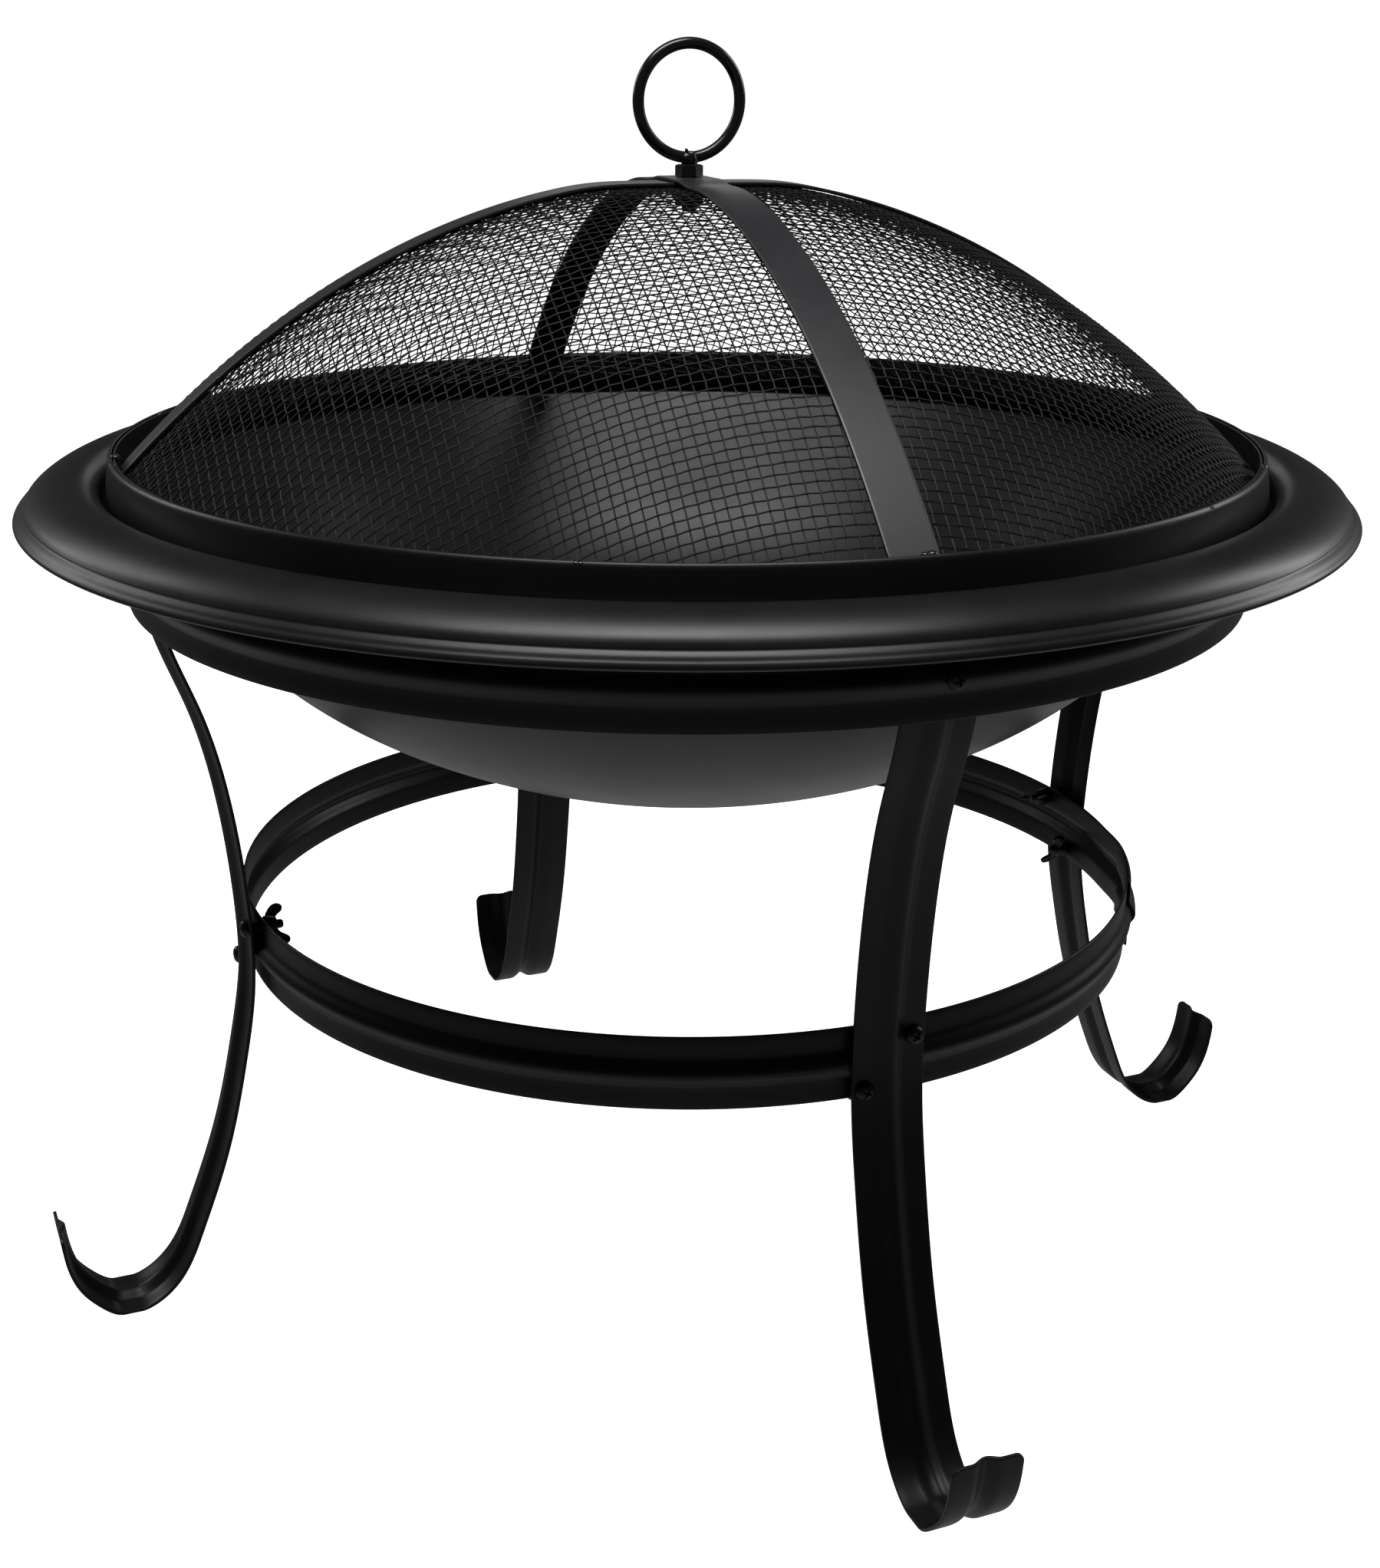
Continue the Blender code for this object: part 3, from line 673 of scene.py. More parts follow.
def nut_mesh(name, flats, height, hole):
    """A chamfered hexagonal nut along Z, from z = -height up to its seat at z = 0."""
    inner = flats / 2 * NUT_FACE_SHARE
    loops = []
    for step in range(NUT_STEPS):
        angle = 2.0 * math.pi * step / NUT_STEPS
        within = (angle % (math.pi / 3)) - math.pi / 6
        reach = flats / 2 / math.cos(within)
        drop = max((reach - inner) * math.tan(math.radians(NUT_CHAMFER)), 0.0)
        profile = (
            (hole + HOLE_EASE, 0.0),
            (inner, 0.0),
            (reach, -drop),
            (reach, -height + drop),
            (inner, -height),
            (hole + HOLE_EASE, -height),
            (hole, -height + HOLE_EASE),
            (hole, -HOLE_EASE),
        )
        loops.append([(r * math.cos(angle), r * math.sin(angle), z) for r, z in profile])
    return mesh_from(name, *loft(loops, True))


def remeshed(item, voxel, smoothing):
    """Melts an object's overlapping lumps into one cast or welded skin."""
    melt = item.modifiers.new("Melt", "REMESH")
    melt.mode = "VOXEL"
    melt.voxel_size = voxel
    ease = item.modifiers.new("Ease", "SMOOTH")
    ease.factor = 0.5
    ease.iterations = smoothing
    return baked(item)


def ball_parts(middle, radii, turn=0.0):
    """Points and faces of a stretched ball, turned about Y."""
    loops = []
    cosine = math.cos(turn)
    sine = math.sin(turn)
    for ring in range(BALL_RINGS + 1):
        height = math.cos(math.pi * (ring + BALL_POLE_GAP) / (BALL_RINGS + 2 * BALL_POLE_GAP))
        wide = math.sqrt(max(1.0 - height**2, 1e-9))
        loop = []
        for step in range(BALL_STEPS):
            angle = 2.0 * math.pi * step / BALL_STEPS
            x = radii[0] * wide * math.cos(angle)
            y = radii[1] * wide * math.sin(angle)
            z = radii[2] * height
            across = middle[0] + cosine * x + sine * z
            loop.append((across, middle[1] + y, middle[2] - sine * x + cosine * z))
        loops.append(loop)
    return loft(loops, False)


def wing_nut_mesh():
    """A cast wing nut along Z, from its seat at z = 0 down."""
    height = WING_HUB_HEIGHT
    hub = (
        (0.0, 0.0),
        (WING_HUB_RADIUS - 0.0003, 0.0),
        (WING_HUB_RADIUS, -0.0004),
        (WING_HUB_RADIUS - 0.0001, -0.0016),
        (WING_HUB_END_RADIUS + 0.0001, -height + 0.0008),
        (WING_HUB_END_RADIUS - 0.0004, -height),
        (0.0, -height),
    )
    parts = [turned_parts(hub, WING_HUB_STEPS)]
    for side in (1.0, -1.0):
        outline = spline(WING_OUTLINE, SMALL_CURVE_STEPS)
        loops = []
        for level in (-WING_HALF_THICKNESS, WING_HALF_THICKNESS):
            loops.append([(side * across, level, -behind) for across, behind in outline])
        parts.append(loft(loops, False))
        for (out, along_y, level), radii, turn in WING_LUMPS:
            parts.append(ball_parts((side * out, along_y, level), radii, side * turn))
    item = add_object("wing_nut_cast", mesh_from("wing_nut_cast", *joined(parts)), None)
    return remeshed(item, WING_VOXEL, 5)


# Bowl


def bowl_profile():
    """The closed profile of the bowl's sheet, with its rolled edge."""
    path = []
    dish_end = math.asin(DISH_EDGE_RADIUS / DISH_RADIUS)
    for index in range(DISH_STEPS):
        angle = dish_end * index / DISH_STEPS
        path.append((DISH_RADIUS * math.sin(angle), DISH_MIDDLE_HEIGHT - DISH_RADIUS * math.cos(angle)))
    edge_height = DISH_MIDDLE_HEIGHT - DISH_RADIUS * math.cos(dish_end)
    lean = math.radians(WALL_LEAN)
    for index in range(KNUCKLE_STEPS + 1):
        angle = dish_end + (lean - dish_end) * index / KNUCKLE_STEPS
        radius = DISH_EDGE_RADIUS + KNUCKLE_RADIUS * (math.sin(angle) - math.sin(dish_end))
        height = edge_height + KNUCKLE_RADIUS * (math.cos(dish_end) - math.cos(angle))
        path.append((radius, height))
    rim = spline((path[-3], path[-1], *RIM_PATH), RIM_CURVE_STEPS)
    path = np.array(path[:-2] + [tuple(point) for point in rim[1:]])
    upper, lower = sheet_sides(path, BOWL_THICKNESS)
    lip = spline((upper[-1], *RIM_LIP, lower[-1]), LIP_CURVE_STEPS)
    profile = np.array([*upper, *lip[1:-1], *lower[::-1]])
    profile[0, 0] = 0.0
    profile[-1, 0] = 0.0
    return profile


# Spark screen


def lower_of(level, heights, ease):
    """The lower of a level and some heights, with a soft change between them."""
    return level - ease * np.logaddexp(0.0, (level - heights) / ease)


def screen_height(radius):
    """Height of the middle of the screen: a dome that is pressed flat at its hub."""
    dome = dome_height(np.asarray(radius, float), 0.0)
    return lower_of(SCREEN_FLAT_HEIGHT, dome, SCREEN_FLAT_EASE)


def screen_normal(radius):
    """The dome's outward normal as (radial, up)."""
    probe = 0.0004
    rise = screen_height(radius + probe) - screen_height(np.maximum(radius - probe, 0.0))
    size = np.hypot(rise, 2.0 * probe)
    return -rise / size, 2.0 * probe / size


def dome_height(x, y):
    """Height of the dome before its hub is pressed flat."""
    share = (x * x + y * y) / SCREEN_UNIT_RADIUS**2
    return SCREEN_APEX - SCREEN_FALL * share - SCREEN_EDGE_FALL * share * share


def next_on_axis(radius, step):
    """The next place along a straight wire through the top, one step of wire further."""
    low = radius
    high = radius + step
    for _ in range(HALVINGS):
        middle = (low + high) / 2
        if math.hypot(middle - radius, dome_height(middle, 0.0) - dome_height(radius, 0.0)) < step:
            low = middle
        else:
            high = middle
    return (low + high) / 2


def weave_net():
    """Places (x, y) where wires of one length of side cross, in one quarter of the dome."""
    step = WEAVE_PITCH / 2
    count = WEAVE_HALF_STEPS
    axis = [0.0]
    for _ in range(count):
        axis.append(next_on_axis(axis[-1], step))
    net = np.full((count + 1, count + 1, 2), np.nan)
    net[:, 0, 0] = axis
    net[:, 0, 1] = 0.0
    net[0, :, 0] = 0.0
    net[0, :, 1] = axis
    for i in range(1, count + 1):
        for j in range(1, count + 1):
            beside = net[i - 1, j]
            below = net[i, j - 1]
            x, y = beside + below - net[i - 1, j - 1]
            if not x * x + y * y < WEAVE_LIMIT * WEAVE_LIMIT:
                continue
            for _ in range(WEAVE_ROUNDS):
                height = dome_height(x, y)
                share = (x * x + y * y) / SCREEN_UNIT_RADIUS**2
                fall = -2.0 * (SCREEN_FALL + 2.0 * SCREEN_EDGE_FALL * share) / SCREEN_UNIT_RADIUS**2
                off = []
                for known in (beside, below):
                    rise = height - dome_height(known[0], known[1])
                    miss = (x - known[0]) ** 2 + (y - known[1]) ** 2 + rise**2 - step**2
                    slope_x = 2 * (x - known[0] + rise * fall * x)
                    slope_y = 2 * (y - known[1] + rise * fall * y)
                    off.append((miss, slope_x, slope_y))
                (miss_a, ax, ay), (miss_b, bx, by) = off
                scale = ax * by - ay * bx
                x -= (miss_a * by - miss_b * ay) / scale
                y -= (ax * miss_b - bx * miss_a) / scale
            net[i, j] = (x, y)
    return net


def wire_parts(places, lifts):
    """Points and faces of one wire that rides over and under along places (x, y) on the dome."""
    radius = np.hypot(places[:, 0], places[:, 1])
    radial, up = screen_normal(radius)
    outward = places / np.maximum(radius, 1e-9)[:, None]
    normals = np.column_stack([outward * radial[:, None], up])
    points = np.column_stack([places, screen_height(radius)]) + normals * lifts[:, None]
    ways = np.gradient(points, axis=0)
    ways /= np.linalg.norm(ways, axis=1)[:, None]
    across = np.cross(ways, normals)
    across /= np.linalg.norm(across, axis=1)[:, None]
    up_way = np.cross(across, ways)
    loops = []
    for side in range(WEAVE_SIDES):
        angle = 2.0 * math.pi * (side + 0.5) / WEAVE_SIDES
        reach = across * math.cos(angle) + up_way * math.sin(angle)
        loops.append(points + WEAVE_WIRE_RADIUS * reach)
    return loft(np.stack(loops, axis=1), False)


def clipped(places, lifts):
    """The run of places inside the screen's edge, ended right at the edge."""
    radius = np.hypot(places[:, 0], places[:, 1])
    inside = np.flatnonzero(radius < WEAVE_REACH)
    if len(inside) < 3:
        return None
    first = inside[0]
    last = inside[-1]
    run = list(range(first, last + 1))
    kept = [places[index] for index in run]
    heights = [lifts[index] for index in run]
    for index, beyond, end in ((first, first - 1, 0), (last, last + 1, len(kept))):
        if not 0 <= beyond < len(places) or np.isnan(places[beyond, 0]):
            continue
        share = (WEAVE_REACH - radius[index]) / (radius[beyond] - radius[index])
        if share > WEAVE_SHORTEST_END:
            kept.insert(end, places[index] + share * (places[beyond] - places[index]))
            heights.insert(end, lifts[index] + share * (lifts[beyond] - lifts[index]))
    return np.array(kept), np.array(heights)


def weave_meshes():
    """Four meshes: each way's wires, split at the middle so that no mesh is too heavy."""
    net = weave_net()
    count = WEAVE_HALF_STEPS
    turn = math.radians(WEAVE_BEARING - 90.0)
    out = np.array((math.cos(turn), math.sin(turn)))
    side = np.array((-math.sin(turn), math.cos(turn)))
    whole = np.full((2 * count + 1, 2 * count + 1, 2), np.nan)
    for i in range(-count, count + 1):
        quarter = net[abs(i)]
        for j in range(-count, count + 1):
            x, y = quarter[abs(j)]
            whole[i + count, j + count] = math.copysign(x, i) * out + math.copysign(y, j) * side
    made = {}
    steps = np.arange(-count, count + 1)
    for name, lengthwise in (("long", True), ("cross", False)):
        for line in range(-count + 1, count, 2):
            if lengthwise:
                places = whole[:, line + count]
            else:
                places = whole[line + count, :]
            near = (line - 1) // 2
            over = np.where(((steps - 1) // 2 + near) % 2 == 0, 1.0, -1.0)
            over = np.where(steps % 2 == 0, 0.0, over) * (1.0 if lengthwise else -1.0)
            known = ~np.isnan(places[:, 0])
            run = clipped(places[known], over[known] * WEAVE_LIFT)
            if run is None:
                continue
            part = "near" if line > 0 else "far"
            made.setdefault(name + "_" + part, []).append(wire_parts(*run))
    return made


def strap_end_shape(from_end):
    """How much the end of a bar takes off its half width, and its share of thickness."""
    for distance, taken, room in STRAP_ENDS:
        if from_end < distance:
            return taken, room
    return 0.0, 1.0


def strap_mesh(name, crosses):
    """A flat bar with rounded edges along X that follows the dome, and may step over another."""
    share = np.linspace(-1.0, 1.0, STRAP_STATIONS + 1)
    reach = STRAP_END_RADIUS * share
    radial, up = screen_normal(np.abs(reach))
    middles = np.stack([reach, screen_height(np.abs(reach))], axis=1)
    middles += STRAP_STAND_OFF * np.stack([np.sign(reach) * radial, up], axis=1)
    if crosses:
        down = (np.abs(reach) - STRAP_LEVEL_REACH) / (STRAP_JOGGLE_END - STRAP_LEVEL_REACH)
        down = np.clip(down, 0.0, 1.0)
        raised = 1.0 - down * down * (3.0 - 2.0 * down)
        middles[:, 1] += raised * (STRAP_CROSSING_HEIGHT - middles[:, 1])
    ways = np.gradient(middles, axis=0)
    ways /= np.linalg.norm(ways, axis=1)[:, None]
    loops = []
    for middle, way, place in zip(middles, ways, np.abs(reach)):
        taken, room = strap_end_shape(STRAP_END_RADIUS - place)
        half = STRAP_WIDTH / 2 - taken
        thick = STRAP_THICKNESS / 2 * room
        loop = []
        for side, rise in ((-1, 1), (1, 1), (1, -1), (-1, -1)):
            outward = side * rise > 0
            corner = []
            for turn in (0, 45, 90) if outward else (90, 45, 0):
                angle = math.radians(turn)
                across = half - STRAP_ROUNDING * (1 - math.sin(angle))
                corner.append((across, thick - STRAP_ROUNDING * room * (1 - math.cos(angle))))
            flat = (half - STRAP_ROUNDING - STRAP_FLAT_INSET, thick)
            corner = [flat, *corner] if outward else [*corner, flat]
            for across, off in corner:
                off *= rise
                loop.append((middle[0] - way[1] * off, side * across, middle[1] + way[0] * off))
        loops.append(loop)
    return mesh_from(name, *loft(loops, False))


def torus_parts(radius, wire, steps, sides):
    """A ring of round wire standing in the XZ plane round the origin."""
    loops = []
    for step in range(steps):
        turn = 2.0 * math.pi * step / steps
        loop = []
        for side in range(sides):
            angle = 2.0 * math.pi * side / sides
            reach = radius + wire * math.cos(angle)
            loop.append((reach * math.sin(turn), wire * math.sin(angle), -reach * math.cos(turn)))
        loops.append(loop)
    return loft(loops, True)


def weld_mesh():
    """The stud, the weld beads that join the ring to it, and the small spike that one left."""
    stud = (
        (0.0, STUD_TOP),
        (STUD_RADIUS, STUD_TOP),
        (STUD_RADIUS, STUD_BOTTOM + STUD_CHAMFER),
        (STUD_RADIUS - STUD_CHAMFER, STUD_BOTTOM),
        (0.0, STUD_BOTTOM),
    )
    parts = [turned_parts(stud, STUD_STEPS)]
    for place, radii, turn in WELD_LUMPS:
        parts.append(ball_parts(place, radii, turn))
    item = add_object("lift_ring_weld", mesh_from("lift_ring_weld", *joined(parts)), None)
    return remeshed(item, WELD_VOXEL, 6)


def tack_mesh():
    """Small welds at the ends of the bars, and tacks that bridge the tops of the two hoops."""
    chance = np.random.default_rng(SEED)
    parts = []
    for bearing in BAR_WELD_BEARINGS:
        turn = math.radians(bearing - 90.0)
        for shift, size in BAR_WELD_LUMPS:
            middle = (
                BAR_WELD_REACH * math.cos(turn) - shift * math.sin(turn),
                BAR_WELD_REACH * math.sin(turn) + shift * math.cos(turn),
                BAR_WELD_HEIGHT,
            )
            parts.append(ball_parts(middle, (size, size, size * BAR_WELD_FLATNESS)))
    for bearing in TACK_BEARINGS:
        turn = math.radians(bearing - 90.0)
        grow = TACK_SMALLEST + TACK_SIZE_SPREAD * chance.random()
        for shift in TACK_SHIFTS:
            reach = TACK_REACH + TACK_REACH_SPREAD * chance.random()
            aside = shift + TACK_SHIFT_SPREAD * chance.random()
            middle = (
                reach * math.cos(turn) - aside * math.sin(turn),
                reach * math.sin(turn) + aside * math.cos(turn),
                TACK_HEIGHT,
            )
            parts.append(ball_parts(middle, [size * grow for size in TACK_RADII]))
    return mesh_from("hoop_tack_welds", *joined(parts))


# Materials


def mapped(tree, value, source, target=(0.0, 1.0)):
    """The output of a new node that turns one range of a value into another."""
    node = tree.nodes.new("ShaderNodeMapRange")
    for key, number in zip(("From Min", "From Max", "To Min", "To Max"), (*source, *target)):
        node.inputs[key].default_value = number
    tree.links.new(value, node.inputs["Value"])
    return node.outputs["Result"]


def noise(tree, place, scale, detail, roughness=0.5):
    """The output of a new noise node."""
    node = tree.nodes.new("ShaderNodeTexNoise")
    node.inputs["Scale"].default_value = scale
    node.inputs["Detail"].default_value = detail
    node.inputs["Roughness"].default_value = roughness
    tree.links.new(place, node.inputs["Vector"])
    return node.outputs["Fac"]


def paint(name, colour, lighter, roughness, specular, grain=900.0, bump=0.05, metal=0.0):
    """Sprayed black paint: slow and fine colour changes, uneven gloss and a fine orange-peel skin."""
    material = bpy.data.materials.new(name)
    material.use_nodes = True
    tree = material.node_tree
    shader = tree.nodes["Principled BSDF"]
    shader.inputs["Metallic"].default_value = metal
    shader.inputs["Specular IOR Level"].default_value = specular
    place = tree.nodes.new("ShaderNodeTexCoord").outputs["Object"]
    slow = noise(tree, place, 14.0, 4.0, 0.6)
    fine = noise(tree, place, grain, 3.0)

    mixed = tree.nodes.new("ShaderNodeMath")
    mixed.operation = "MULTIPLY"
    tree.links.new(slow, mixed.inputs[0])
    tree.links.new(fine, mixed.inputs[1])
    tone = tree.nodes.new("ShaderNodeValToRGB")
    tone.color_ramp.elements[0].position = 0.12
    tone.color_ramp.elements[0].color = (*colour, 1.0)
    tone.color_ramp.elements[1].position = 0.42
    tone.color_ramp.elements[1].color = (*lighter, 1.0)
    tree.links.new(mixed.outputs[0], tone.inputs["Fac"])
    tree.links.new(tone.outputs["Color"], shader.inputs["Base Color"])

    gloss = mapped(tree, slow, (0.3, 0.7), (roughness - 0.035, roughness + 0.045))
    tree.links.new(gloss, shader.inputs["Roughness"])

    skin = tree.nodes.new("ShaderNodeBump")
    skin.inputs["Strength"].default_value = bump
    skin.inputs["Distance"].default_value = 0.0004
    tree.links.new(fine, skin.inputs["Height"])
    tree.links.new(skin.outputs["Normal"], shader.inputs["Normal"])
    return material


def painted_underside_light(material, colour):
    """Painted light: a lighter, greyer base colour on the faces that look down, standing in for the light
    that reaches them from below.
    """
    tree = material.node_tree
    shader = tree.nodes["Principled BSDF"]
    coat = shader.inputs["Base Color"].links[0].from_socket
    facing = tree.nodes.new("ShaderNodeSeparateXYZ")
    tree.links.new(tree.nodes.new("ShaderNodeTexCoord").outputs["Normal"], facing.inputs[0])
    blend = tree.nodes.new("ShaderNodeMix")
    blend.data_type = "RGBA"
    blend.inputs[7].default_value = (*colour, 1.0)
    tree.links.new(mapped(tree, facing.outputs["Z"], (-0.10, -0.60)), blend.inputs[0])
    tree.links.new(coat, blend.inputs[6])
    tree.links.new(blend.outputs[2], shader.inputs["Base Color"])


# Darker and lighter tone of each paint, then its roughness and gloss.
frame_paint = paint("satin_black_frame", (0.006, 0.006, 0.0066), (0.0115, 0.0115, 0.0122), 0.4, 0.3)
leg_paint = paint("satin_black_legs", (0.0065, 0.0065, 0.0072), (0.0125, 0.0125, 0.0132), 0.4, 0.32)
bowl_paint = paint(
    "satin_black_bowl", (0.006, 0.006, 0.0062), (0.01, 0.0098, 0.0096), 0.36, 0.34, 700.0, 0.04
)
# Painted light: the bowl's downward faces are painted lighter, standing in for light from below.
painted_underside_light(bowl_paint, (0.04, 0.0375, 0.0365))
screen_paint = paint("satin_black_hoops", (0.0055, 0.0055, 0.006), (0.0105, 0.0105, 0.011), 0.38, 0.3)
strap_paint = paint("satin_black_straps", (0.018, 0.0176, 0.0205), (0.029, 0.0285, 0.0325), 0.38, 0.55)
ring_paint = paint(
    "gloss_black_ring", (0.011, 0.0085, 0.0082), (0.017, 0.0135, 0.013), 0.22, 0.5, 1200.0, 0.01
)
wire_paint = paint(
    "black_wire_coat", (0.009, 0.009, 0.0098), (0.015, 0.015, 0.016), 0.56, 0.25, 2200.0, 0.08
)
screw_finish = paint(
    "blackened_screws", (0.017, 0.0165, 0.016), (0.03, 0.029, 0.028), 0.36, 0.5, 1500.0, 0.06, 0.5
)
hub_finish = paint(
    "blackened_hub", (0.015, 0.015, 0.0155), (0.028, 0.028, 0.0285), 0.3, 0.5, 1500.0, 0.06, 0.5
)


# Pieces


def settle(item, body, slot, *nodes):
    """Says which body a piece rides on, and hides the CAD nodes it stands for; its slot is not used."""
    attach(item, body)
    if nodes:
        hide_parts(*nodes)


settle(add_object("upper_ring_strip", upper_ring_mesh(), frame_paint), "stand", "frame_paint", "upper_ring")
settle(add_object("lower_ring_strip", lower_ring_mesh(), frame_paint), "stand", "frame_paint", "lower_ring")

leg_mesh = ready(mesh_from("leg_strip", *leg_parts()), leg_paint)
upper_screw = ready(screw_mesh("upper_screw", UPPER_BOLT_LENGTH), screw_finish)
lower_screw = ready(screw_mesh("lower_screw", LOWER_BOLT_LENGTH), screw_finish)
small_nut = ready(nut_mesh("small_nut", NUT_FLATS, NUT_HEIGHT, BOLT_RADIUS), screw_finish)
wing_nut = ready(wing_nut_mesh(), screw_finish)

for number, word in enumerate(LEG_NAMES):
    bearing = FIRST_LEG_BEARING + 90.0 * number
    leg = placed("leg_strip_" + word, leg_mesh, radial_frame(bearing))
    settle(leg, "stand", "leg_paint", "leg_" + word)
    turn = HEAD_TURNS[number]
    head = facing_out(bearing, UPPER_HEAD_FACE, 0.0, UPPER_BEAD_MIDDLE, turn)
    nut = facing_out(bearing, UPPER_NUT_FACE, 0.0, UPPER_BEAD_MIDDLE, turn * UPPER_NUT_TURN_SHARE)
    item = placed("upper_screw_" + word, upper_screw, head)
    settle(item, "stand", "fastener_finish", "upper_bolt_" + word)
    item = placed("upper_hex_nut_" + word, small_nut, nut)
    settle(item, "stand", "fastener_finish", "upper_nut_" + word)
    for side, level, wing_turn in zip((1.0, -1.0), ("high", "low"), WING_TURNS[number]):
        sideways = side * LOWER_BOLT_OFFSET
        height = LOWER_RING_MIDDLE + side * LOWER_BOLT_OFFSET
        head = facing_out(bearing, LOWER_HEAD_FACE, sideways, height, turn + LOWER_HEAD_TURN * side)
        nut = facing_out(bearing, LOWER_NUT_FACE, sideways, height, wing_turn)
        tag = word + "_" + level
        item = placed("lower_screw_" + tag, lower_screw, head)
        settle(item, "stand", "fastener_finish", "lower_bolt_" + tag)
        item = placed("wing_nut_cast_" + tag, wing_nut, nut)
        settle(item, "stand", "fastener_finish", "wing_nut_" + tag)

bowl_mesh = mesh_from("bowl_shell", *turned_parts(bowl_profile(), BOWL_STEPS))
settle(add_object("bowl_shell", bowl_mesh, bowl_paint), "bowl", "bowl_enamel", "bowl")

for node, path, thickness in (
    ("screen_hoop", HOOP_PATH, HOOP_THICKNESS),
    ("screen_inner_hoop", INNER_HOOP_PATH, INNER_HOOP_THICKNESS),
):
    profile = band_profile(np.array(path), thickness)
    mesh = mesh_from(node + "_band", *turned_parts(profile, HOOP_STEPS))
    settle(add_object(node + "_band", mesh, screen_paint), "screen", "screen_paint", node)
settle(add_object("hoop_tack_welds", tack_mesh(), ring_paint), "screen", "screen_paint")

for part_name, parts in weave_meshes().items():
    mesh = bpy.data.meshes.new("weave_" + part_name)
    points, faces = joined(parts)
    mesh.from_pydata([tuple(point) for point in points], [], faces)
    weave = add_object("weave_" + part_name, mesh, wire_paint)
    settle(weave, "screen", "wire_mesh_paint", "screen_mesh")

for name, bearing, crosses in (
    ("strap_under", STRAP_UNDER_BEARING, False),
    ("strap_over", STRAP_OVER_BEARING, True),
):
    strap = add_object(name + "_bar", strap_mesh(name + "_bar", crosses), strap_paint)
    strap.matrix_world = radial_frame(bearing)
    settle(strap, "screen", "strap_paint", name)

ring_parts = torus_parts(LIFT_RING_RADIUS, LIFT_RING_WIRE, LIFT_RING_STEPS, LIFT_RING_SIDES)
lift_ring = add_object("lift_ring_wire", mesh_from("lift_ring_wire", *ring_parts), ring_paint)
lift_ring.matrix_world = Matrix.Translation((0.0, 0.0, LIFT_RING_HEIGHT)) @ radial_frame(LIFT_RING_BEARING)
settle(lift_ring, "screen", "ring_paint", "lift_ring")
weld = placed("lift_ring_stud", ready(weld_mesh(), ring_paint), radial_frame(LIFT_RING_BEARING))
settle(weld, "screen", "ring_paint", "lift_ring")

straps_top = SCREEN_HUB_HEIGHT + SCREEN_THICKNESS / 2 + 2.0 * (STRAP_GAP + STRAP_THICKNESS)
washer_top = SCREEN_HUB_HEIGHT - SCREEN_THICKNESS / 2 - STRAP_GAP
hub_nut = ready(nut_mesh("hub_hex_nut", HUB_NUT_FLATS, HUB_NUT_HEIGHT, STUD_RADIUS), hub_finish)
for word, height in (
    ("top", straps_top + STRAP_GAP + HUB_NUT_HEIGHT),
    ("bottom", washer_top - HUB_WASHER_HEIGHT - STRAP_GAP),
):
    nut = placed("hub_hex_nut_" + word, hub_nut, Matrix.Translation((0.0, 0.0, height)))
    settle(nut, "screen", "hub_hardware", "hub_nut_" + word)
low = washer_top - HUB_WASHER_HEIGHT
washer_profile = (
    (HUB_WASHER_HOLE, washer_top),
    (HUB_WASHER_RADIUS - 0.0003, washer_top),
    (HUB_WASHER_RADIUS, washer_top - 0.0003),
    (HUB_WASHER_RADIUS, low + 0.0002),
    (HUB_WASHER_RADIUS - 0.0002, low),
    (HUB_WASHER_HOLE, low),
)
washer_mesh = mesh_from("hub_washer_disc", *turned_parts(washer_profile, HUB_WASHER_STEPS))
settle(add_object("hub_washer_disc", washer_mesh, hub_finish), "screen", "hub_hardware", "hub_washer")


# Camera, light and floor

CAMERA_PLACE = (0.0, -0.92312, 0.52952)
CAMERA_PITCH = 19.19
CAMERA_ROLL = 0.29
CAMERA_LENS = 56.37
CAMERA_SHIFT = (0.0029, -0.0051)
# Each soft light: place, what it is aimed at, width, height and power.
LIGHTS = {
    "overhead_softbox": ((-0.10, -0.36, 2.3), (-0.10, 0.0, 0.3), 1.6, 0.60, 37.0),
    "left_back_strip": ((-1.9, 1.0, 1.3), (0.0, 0.0, 0.3), 0.5, 1.2, 9.0),
    "right_back_strip": ((1.9, 0.9, 1.2), (0.0, 0.0, 0.3), 0.5, 1.2, 12.0),
    "low_back_strip": ((0.0, 3.0, 1.27), (0.0, 0.0, 0.35), 1.05, 0.30, 1.7),
}
# Grey of the room's light from straight down (0) to straight up (1). The camera sees white instead.
ROOM_BOTTOM = (0.34, 0.335, 0.33, 1.0)
ROOM_TOP = (0.22, 0.22, 0.22, 1.0)
ROOM_LEVELS = (
    (0.22, 0.30),
    (0.31, 0.155),
    (0.42, 0.07),
    (0.50, 0.045),
    (0.60, 0.045),
    (0.68, 0.022),
    (0.88, 0.020),
    (0.95, 0.05),
)
FLOOR_RADIUS = 14.0
FLOOR_DROP = 0.0002

camera_data = bpy.data.cameras.new("camera")
camera_data.sensor_fit = "HORIZONTAL"
camera_data.sensor_width = 36.0
camera_data.lens = CAMERA_LENS
camera_data.shift_x = CAMERA_SHIFT[0]
camera_data.shift_y = CAMERA_SHIFT[1]
camera_data.clip_start = 0.05
bpy.context.scene.camera = placed(
    "camera",
    camera_data,
    Matrix.Translation(CAMERA_PLACE)
    @ Matrix.Rotation(math.radians(90.0 - CAMERA_PITCH), 4, "X")
    @ Matrix.Rotation(math.radians(CAMERA_ROLL), 4, "Z"),
)


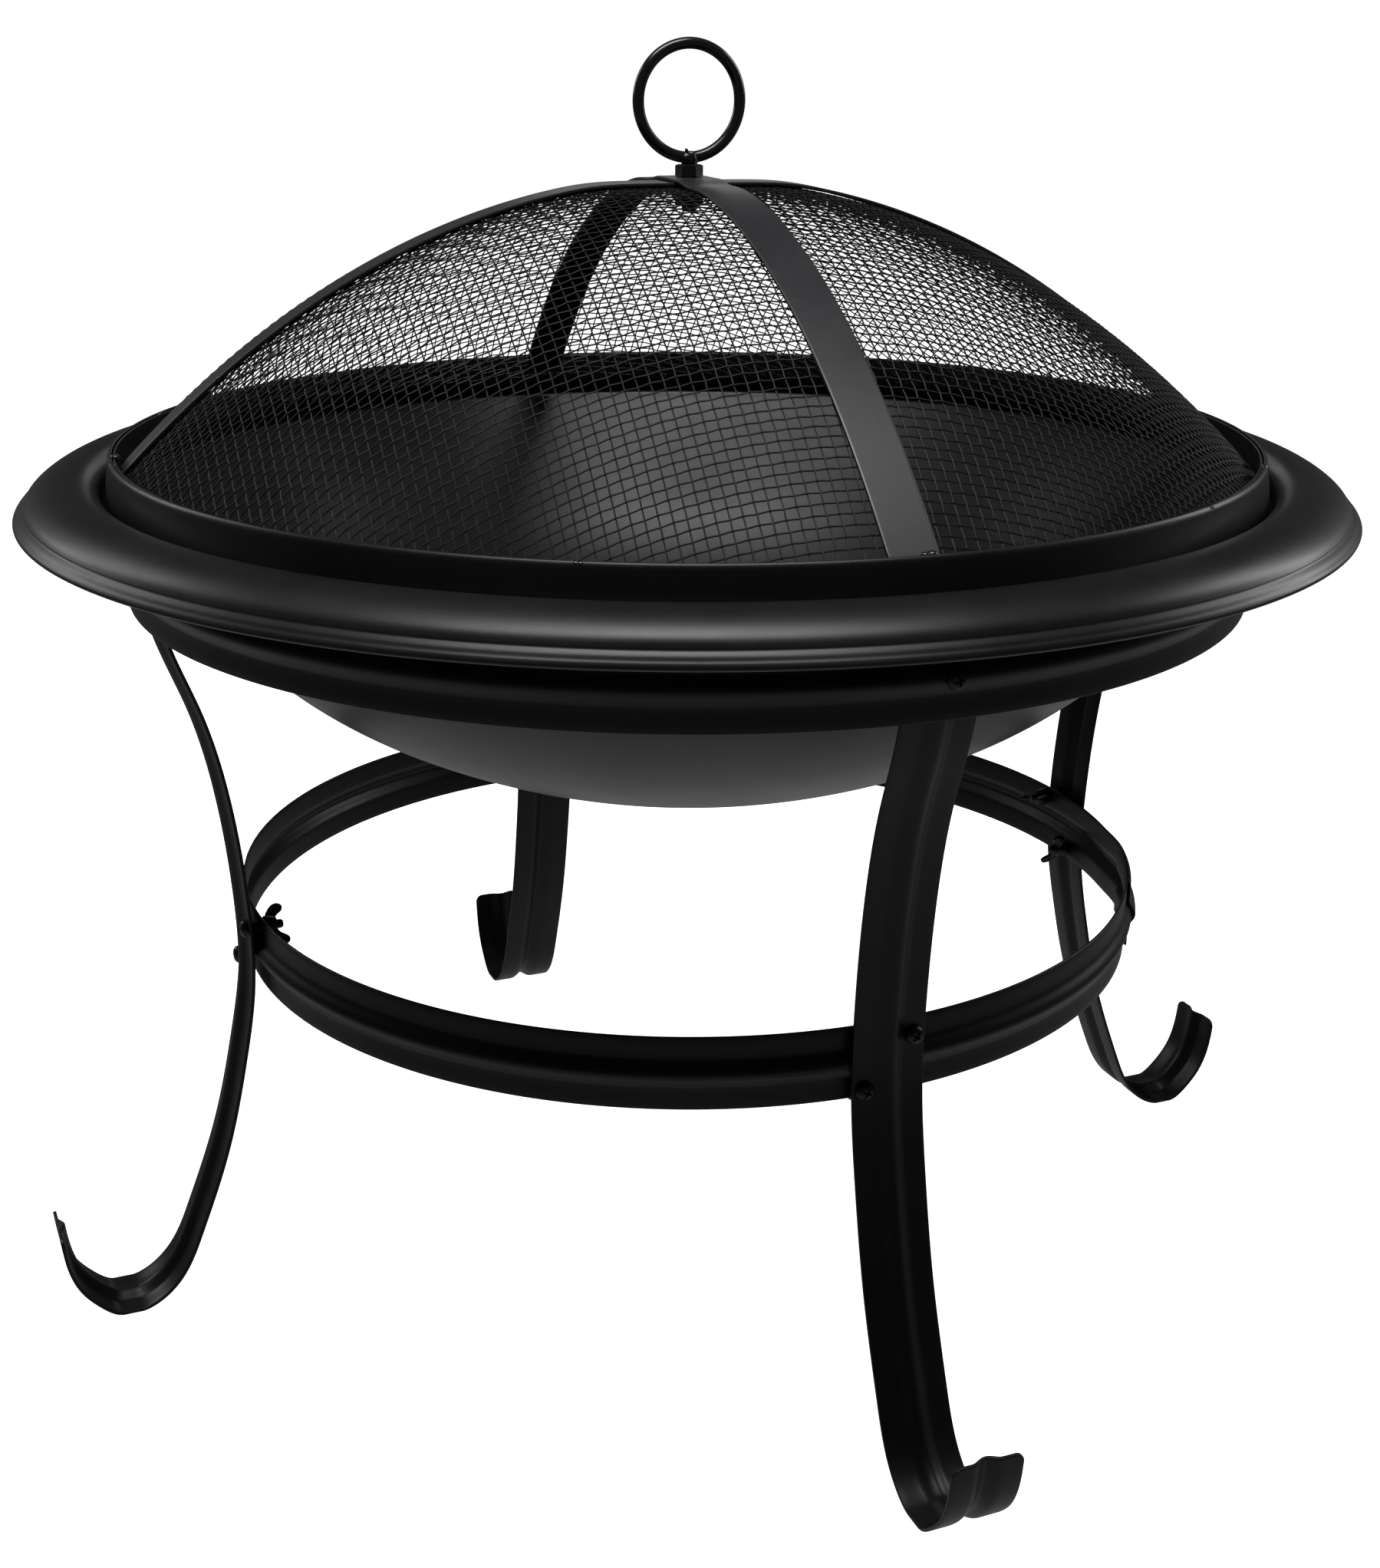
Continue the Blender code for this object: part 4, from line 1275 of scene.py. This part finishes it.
def area_light(name, place, target, width, height, power):
    """A soft rectangular light that faces its target."""
    data = bpy.data.lights.new(name, "AREA")
    data.shape = "RECTANGLE"
    data.size = width
    data.size_y = height
    data.energy = power
    item = placed(name, data)
    item.location = place
    aim = Vector(target) - Vector(place)
    item.rotation_euler = aim.to_track_quat("-Z", "Y").to_euler()


for name, settings in LIGHTS.items():
    area_light(name, *settings)

world = bpy.data.worlds.new("studio")
bpy.context.scene.world = world
world.use_nodes = True
sky = world.node_tree
sky.nodes.clear()
split = sky.nodes.new("ShaderNodeSeparateXYZ")
sky.links.new(sky.nodes.new("ShaderNodeTexCoord").outputs["Generated"], split.inputs[0])
levels = sky.nodes.new("ShaderNodeValToRGB")
sky.links.new(mapped(sky, split.outputs["Z"], (-1.0, 1.0)), levels.inputs["Fac"])
ramp = levels.color_ramp
ramp.elements[0].position = 0.0
ramp.elements[0].color = ROOM_BOTTOM
ramp.elements[1].position = 1.0
ramp.elements[1].color = ROOM_TOP
for spot, level in ROOM_LEVELS:
    ramp.elements.new(spot).color = (level, level, level, 1.0)
dim = sky.nodes.new("ShaderNodeBackground")
sky.links.new(levels.outputs["Color"], dim.inputs["Color"])
# A little more light comes from behind the object.
sky.links.new(mapped(sky, split.outputs["Y"], (-0.2, 0.9), (1.0, 1.3)), dim.inputs["Strength"])
white = sky.nodes.new("ShaderNodeBackground")
white.inputs["Color"].default_value = (1.0, 1.0, 1.0, 1.0)
pick = sky.nodes.new("ShaderNodeMixShader")
ray = sky.nodes.new("ShaderNodeLightPath")
sky.links.new(ray.outputs["Is Camera Ray"], pick.inputs["Fac"])
sky.links.new(dim.outputs[0], pick.inputs[1])
sky.links.new(white.outputs[0], pick.inputs[2])
surface = sky.nodes.new("ShaderNodeOutputWorld")
sky.links.new(pick.outputs[0], surface.inputs["Surface"])

floor_shape = bmesh.new()
bmesh.ops.create_circle(floor_shape, cap_ends=True, segments=96, radius=FLOOR_RADIUS)
floor_mesh = bpy.data.meshes.new("floor")
floor_shape.to_mesh(floor_mesh)
floor_shape.free()
floor = placed("floor", floor_mesh)
floor.location = (0.0, 0.0, -FLOOR_DROP)
# The room's lower half lights the object from below, so the floor itself doesn't.
floor.visible_glossy = False
floor.visible_diffuse = False
floor_paint = bpy.data.materials.new("pale_floor")
floor_paint.use_nodes = True
tree = floor_paint.node_tree
shader = tree.nodes["Principled BSDF"]
shader.inputs["Base Color"].default_value = (0.9, 0.9, 0.9, 1.0)
shader.inputs["Roughness"].default_value = 0.9
shader.inputs["Specular IOR Level"].default_value = 0.0
shader.inputs["Emission Color"].default_value = (1.0, 1.0, 1.0, 1.0)
# The floor glows a little more under the object, where less light reaches it.
from_axis = tree.nodes.new("ShaderNodeVectorMath")
from_axis.operation = "LENGTH"
tree.links.new(tree.nodes.new("ShaderNodeTexCoord").outputs["Object"], from_axis.inputs[0])
glow = mapped(tree, from_axis.outputs["Value"], (0.35, 1.10), (1.25, 1.02))
tree.links.new(glow, shader.inputs["Emission Strength"])
floor_mesh.materials.append(floor_paint)

view = bpy.context.scene.view_settings
view.view_transform = "Standard"
view.look = "None"
view.exposure = 0.0
view.gamma = 1.0
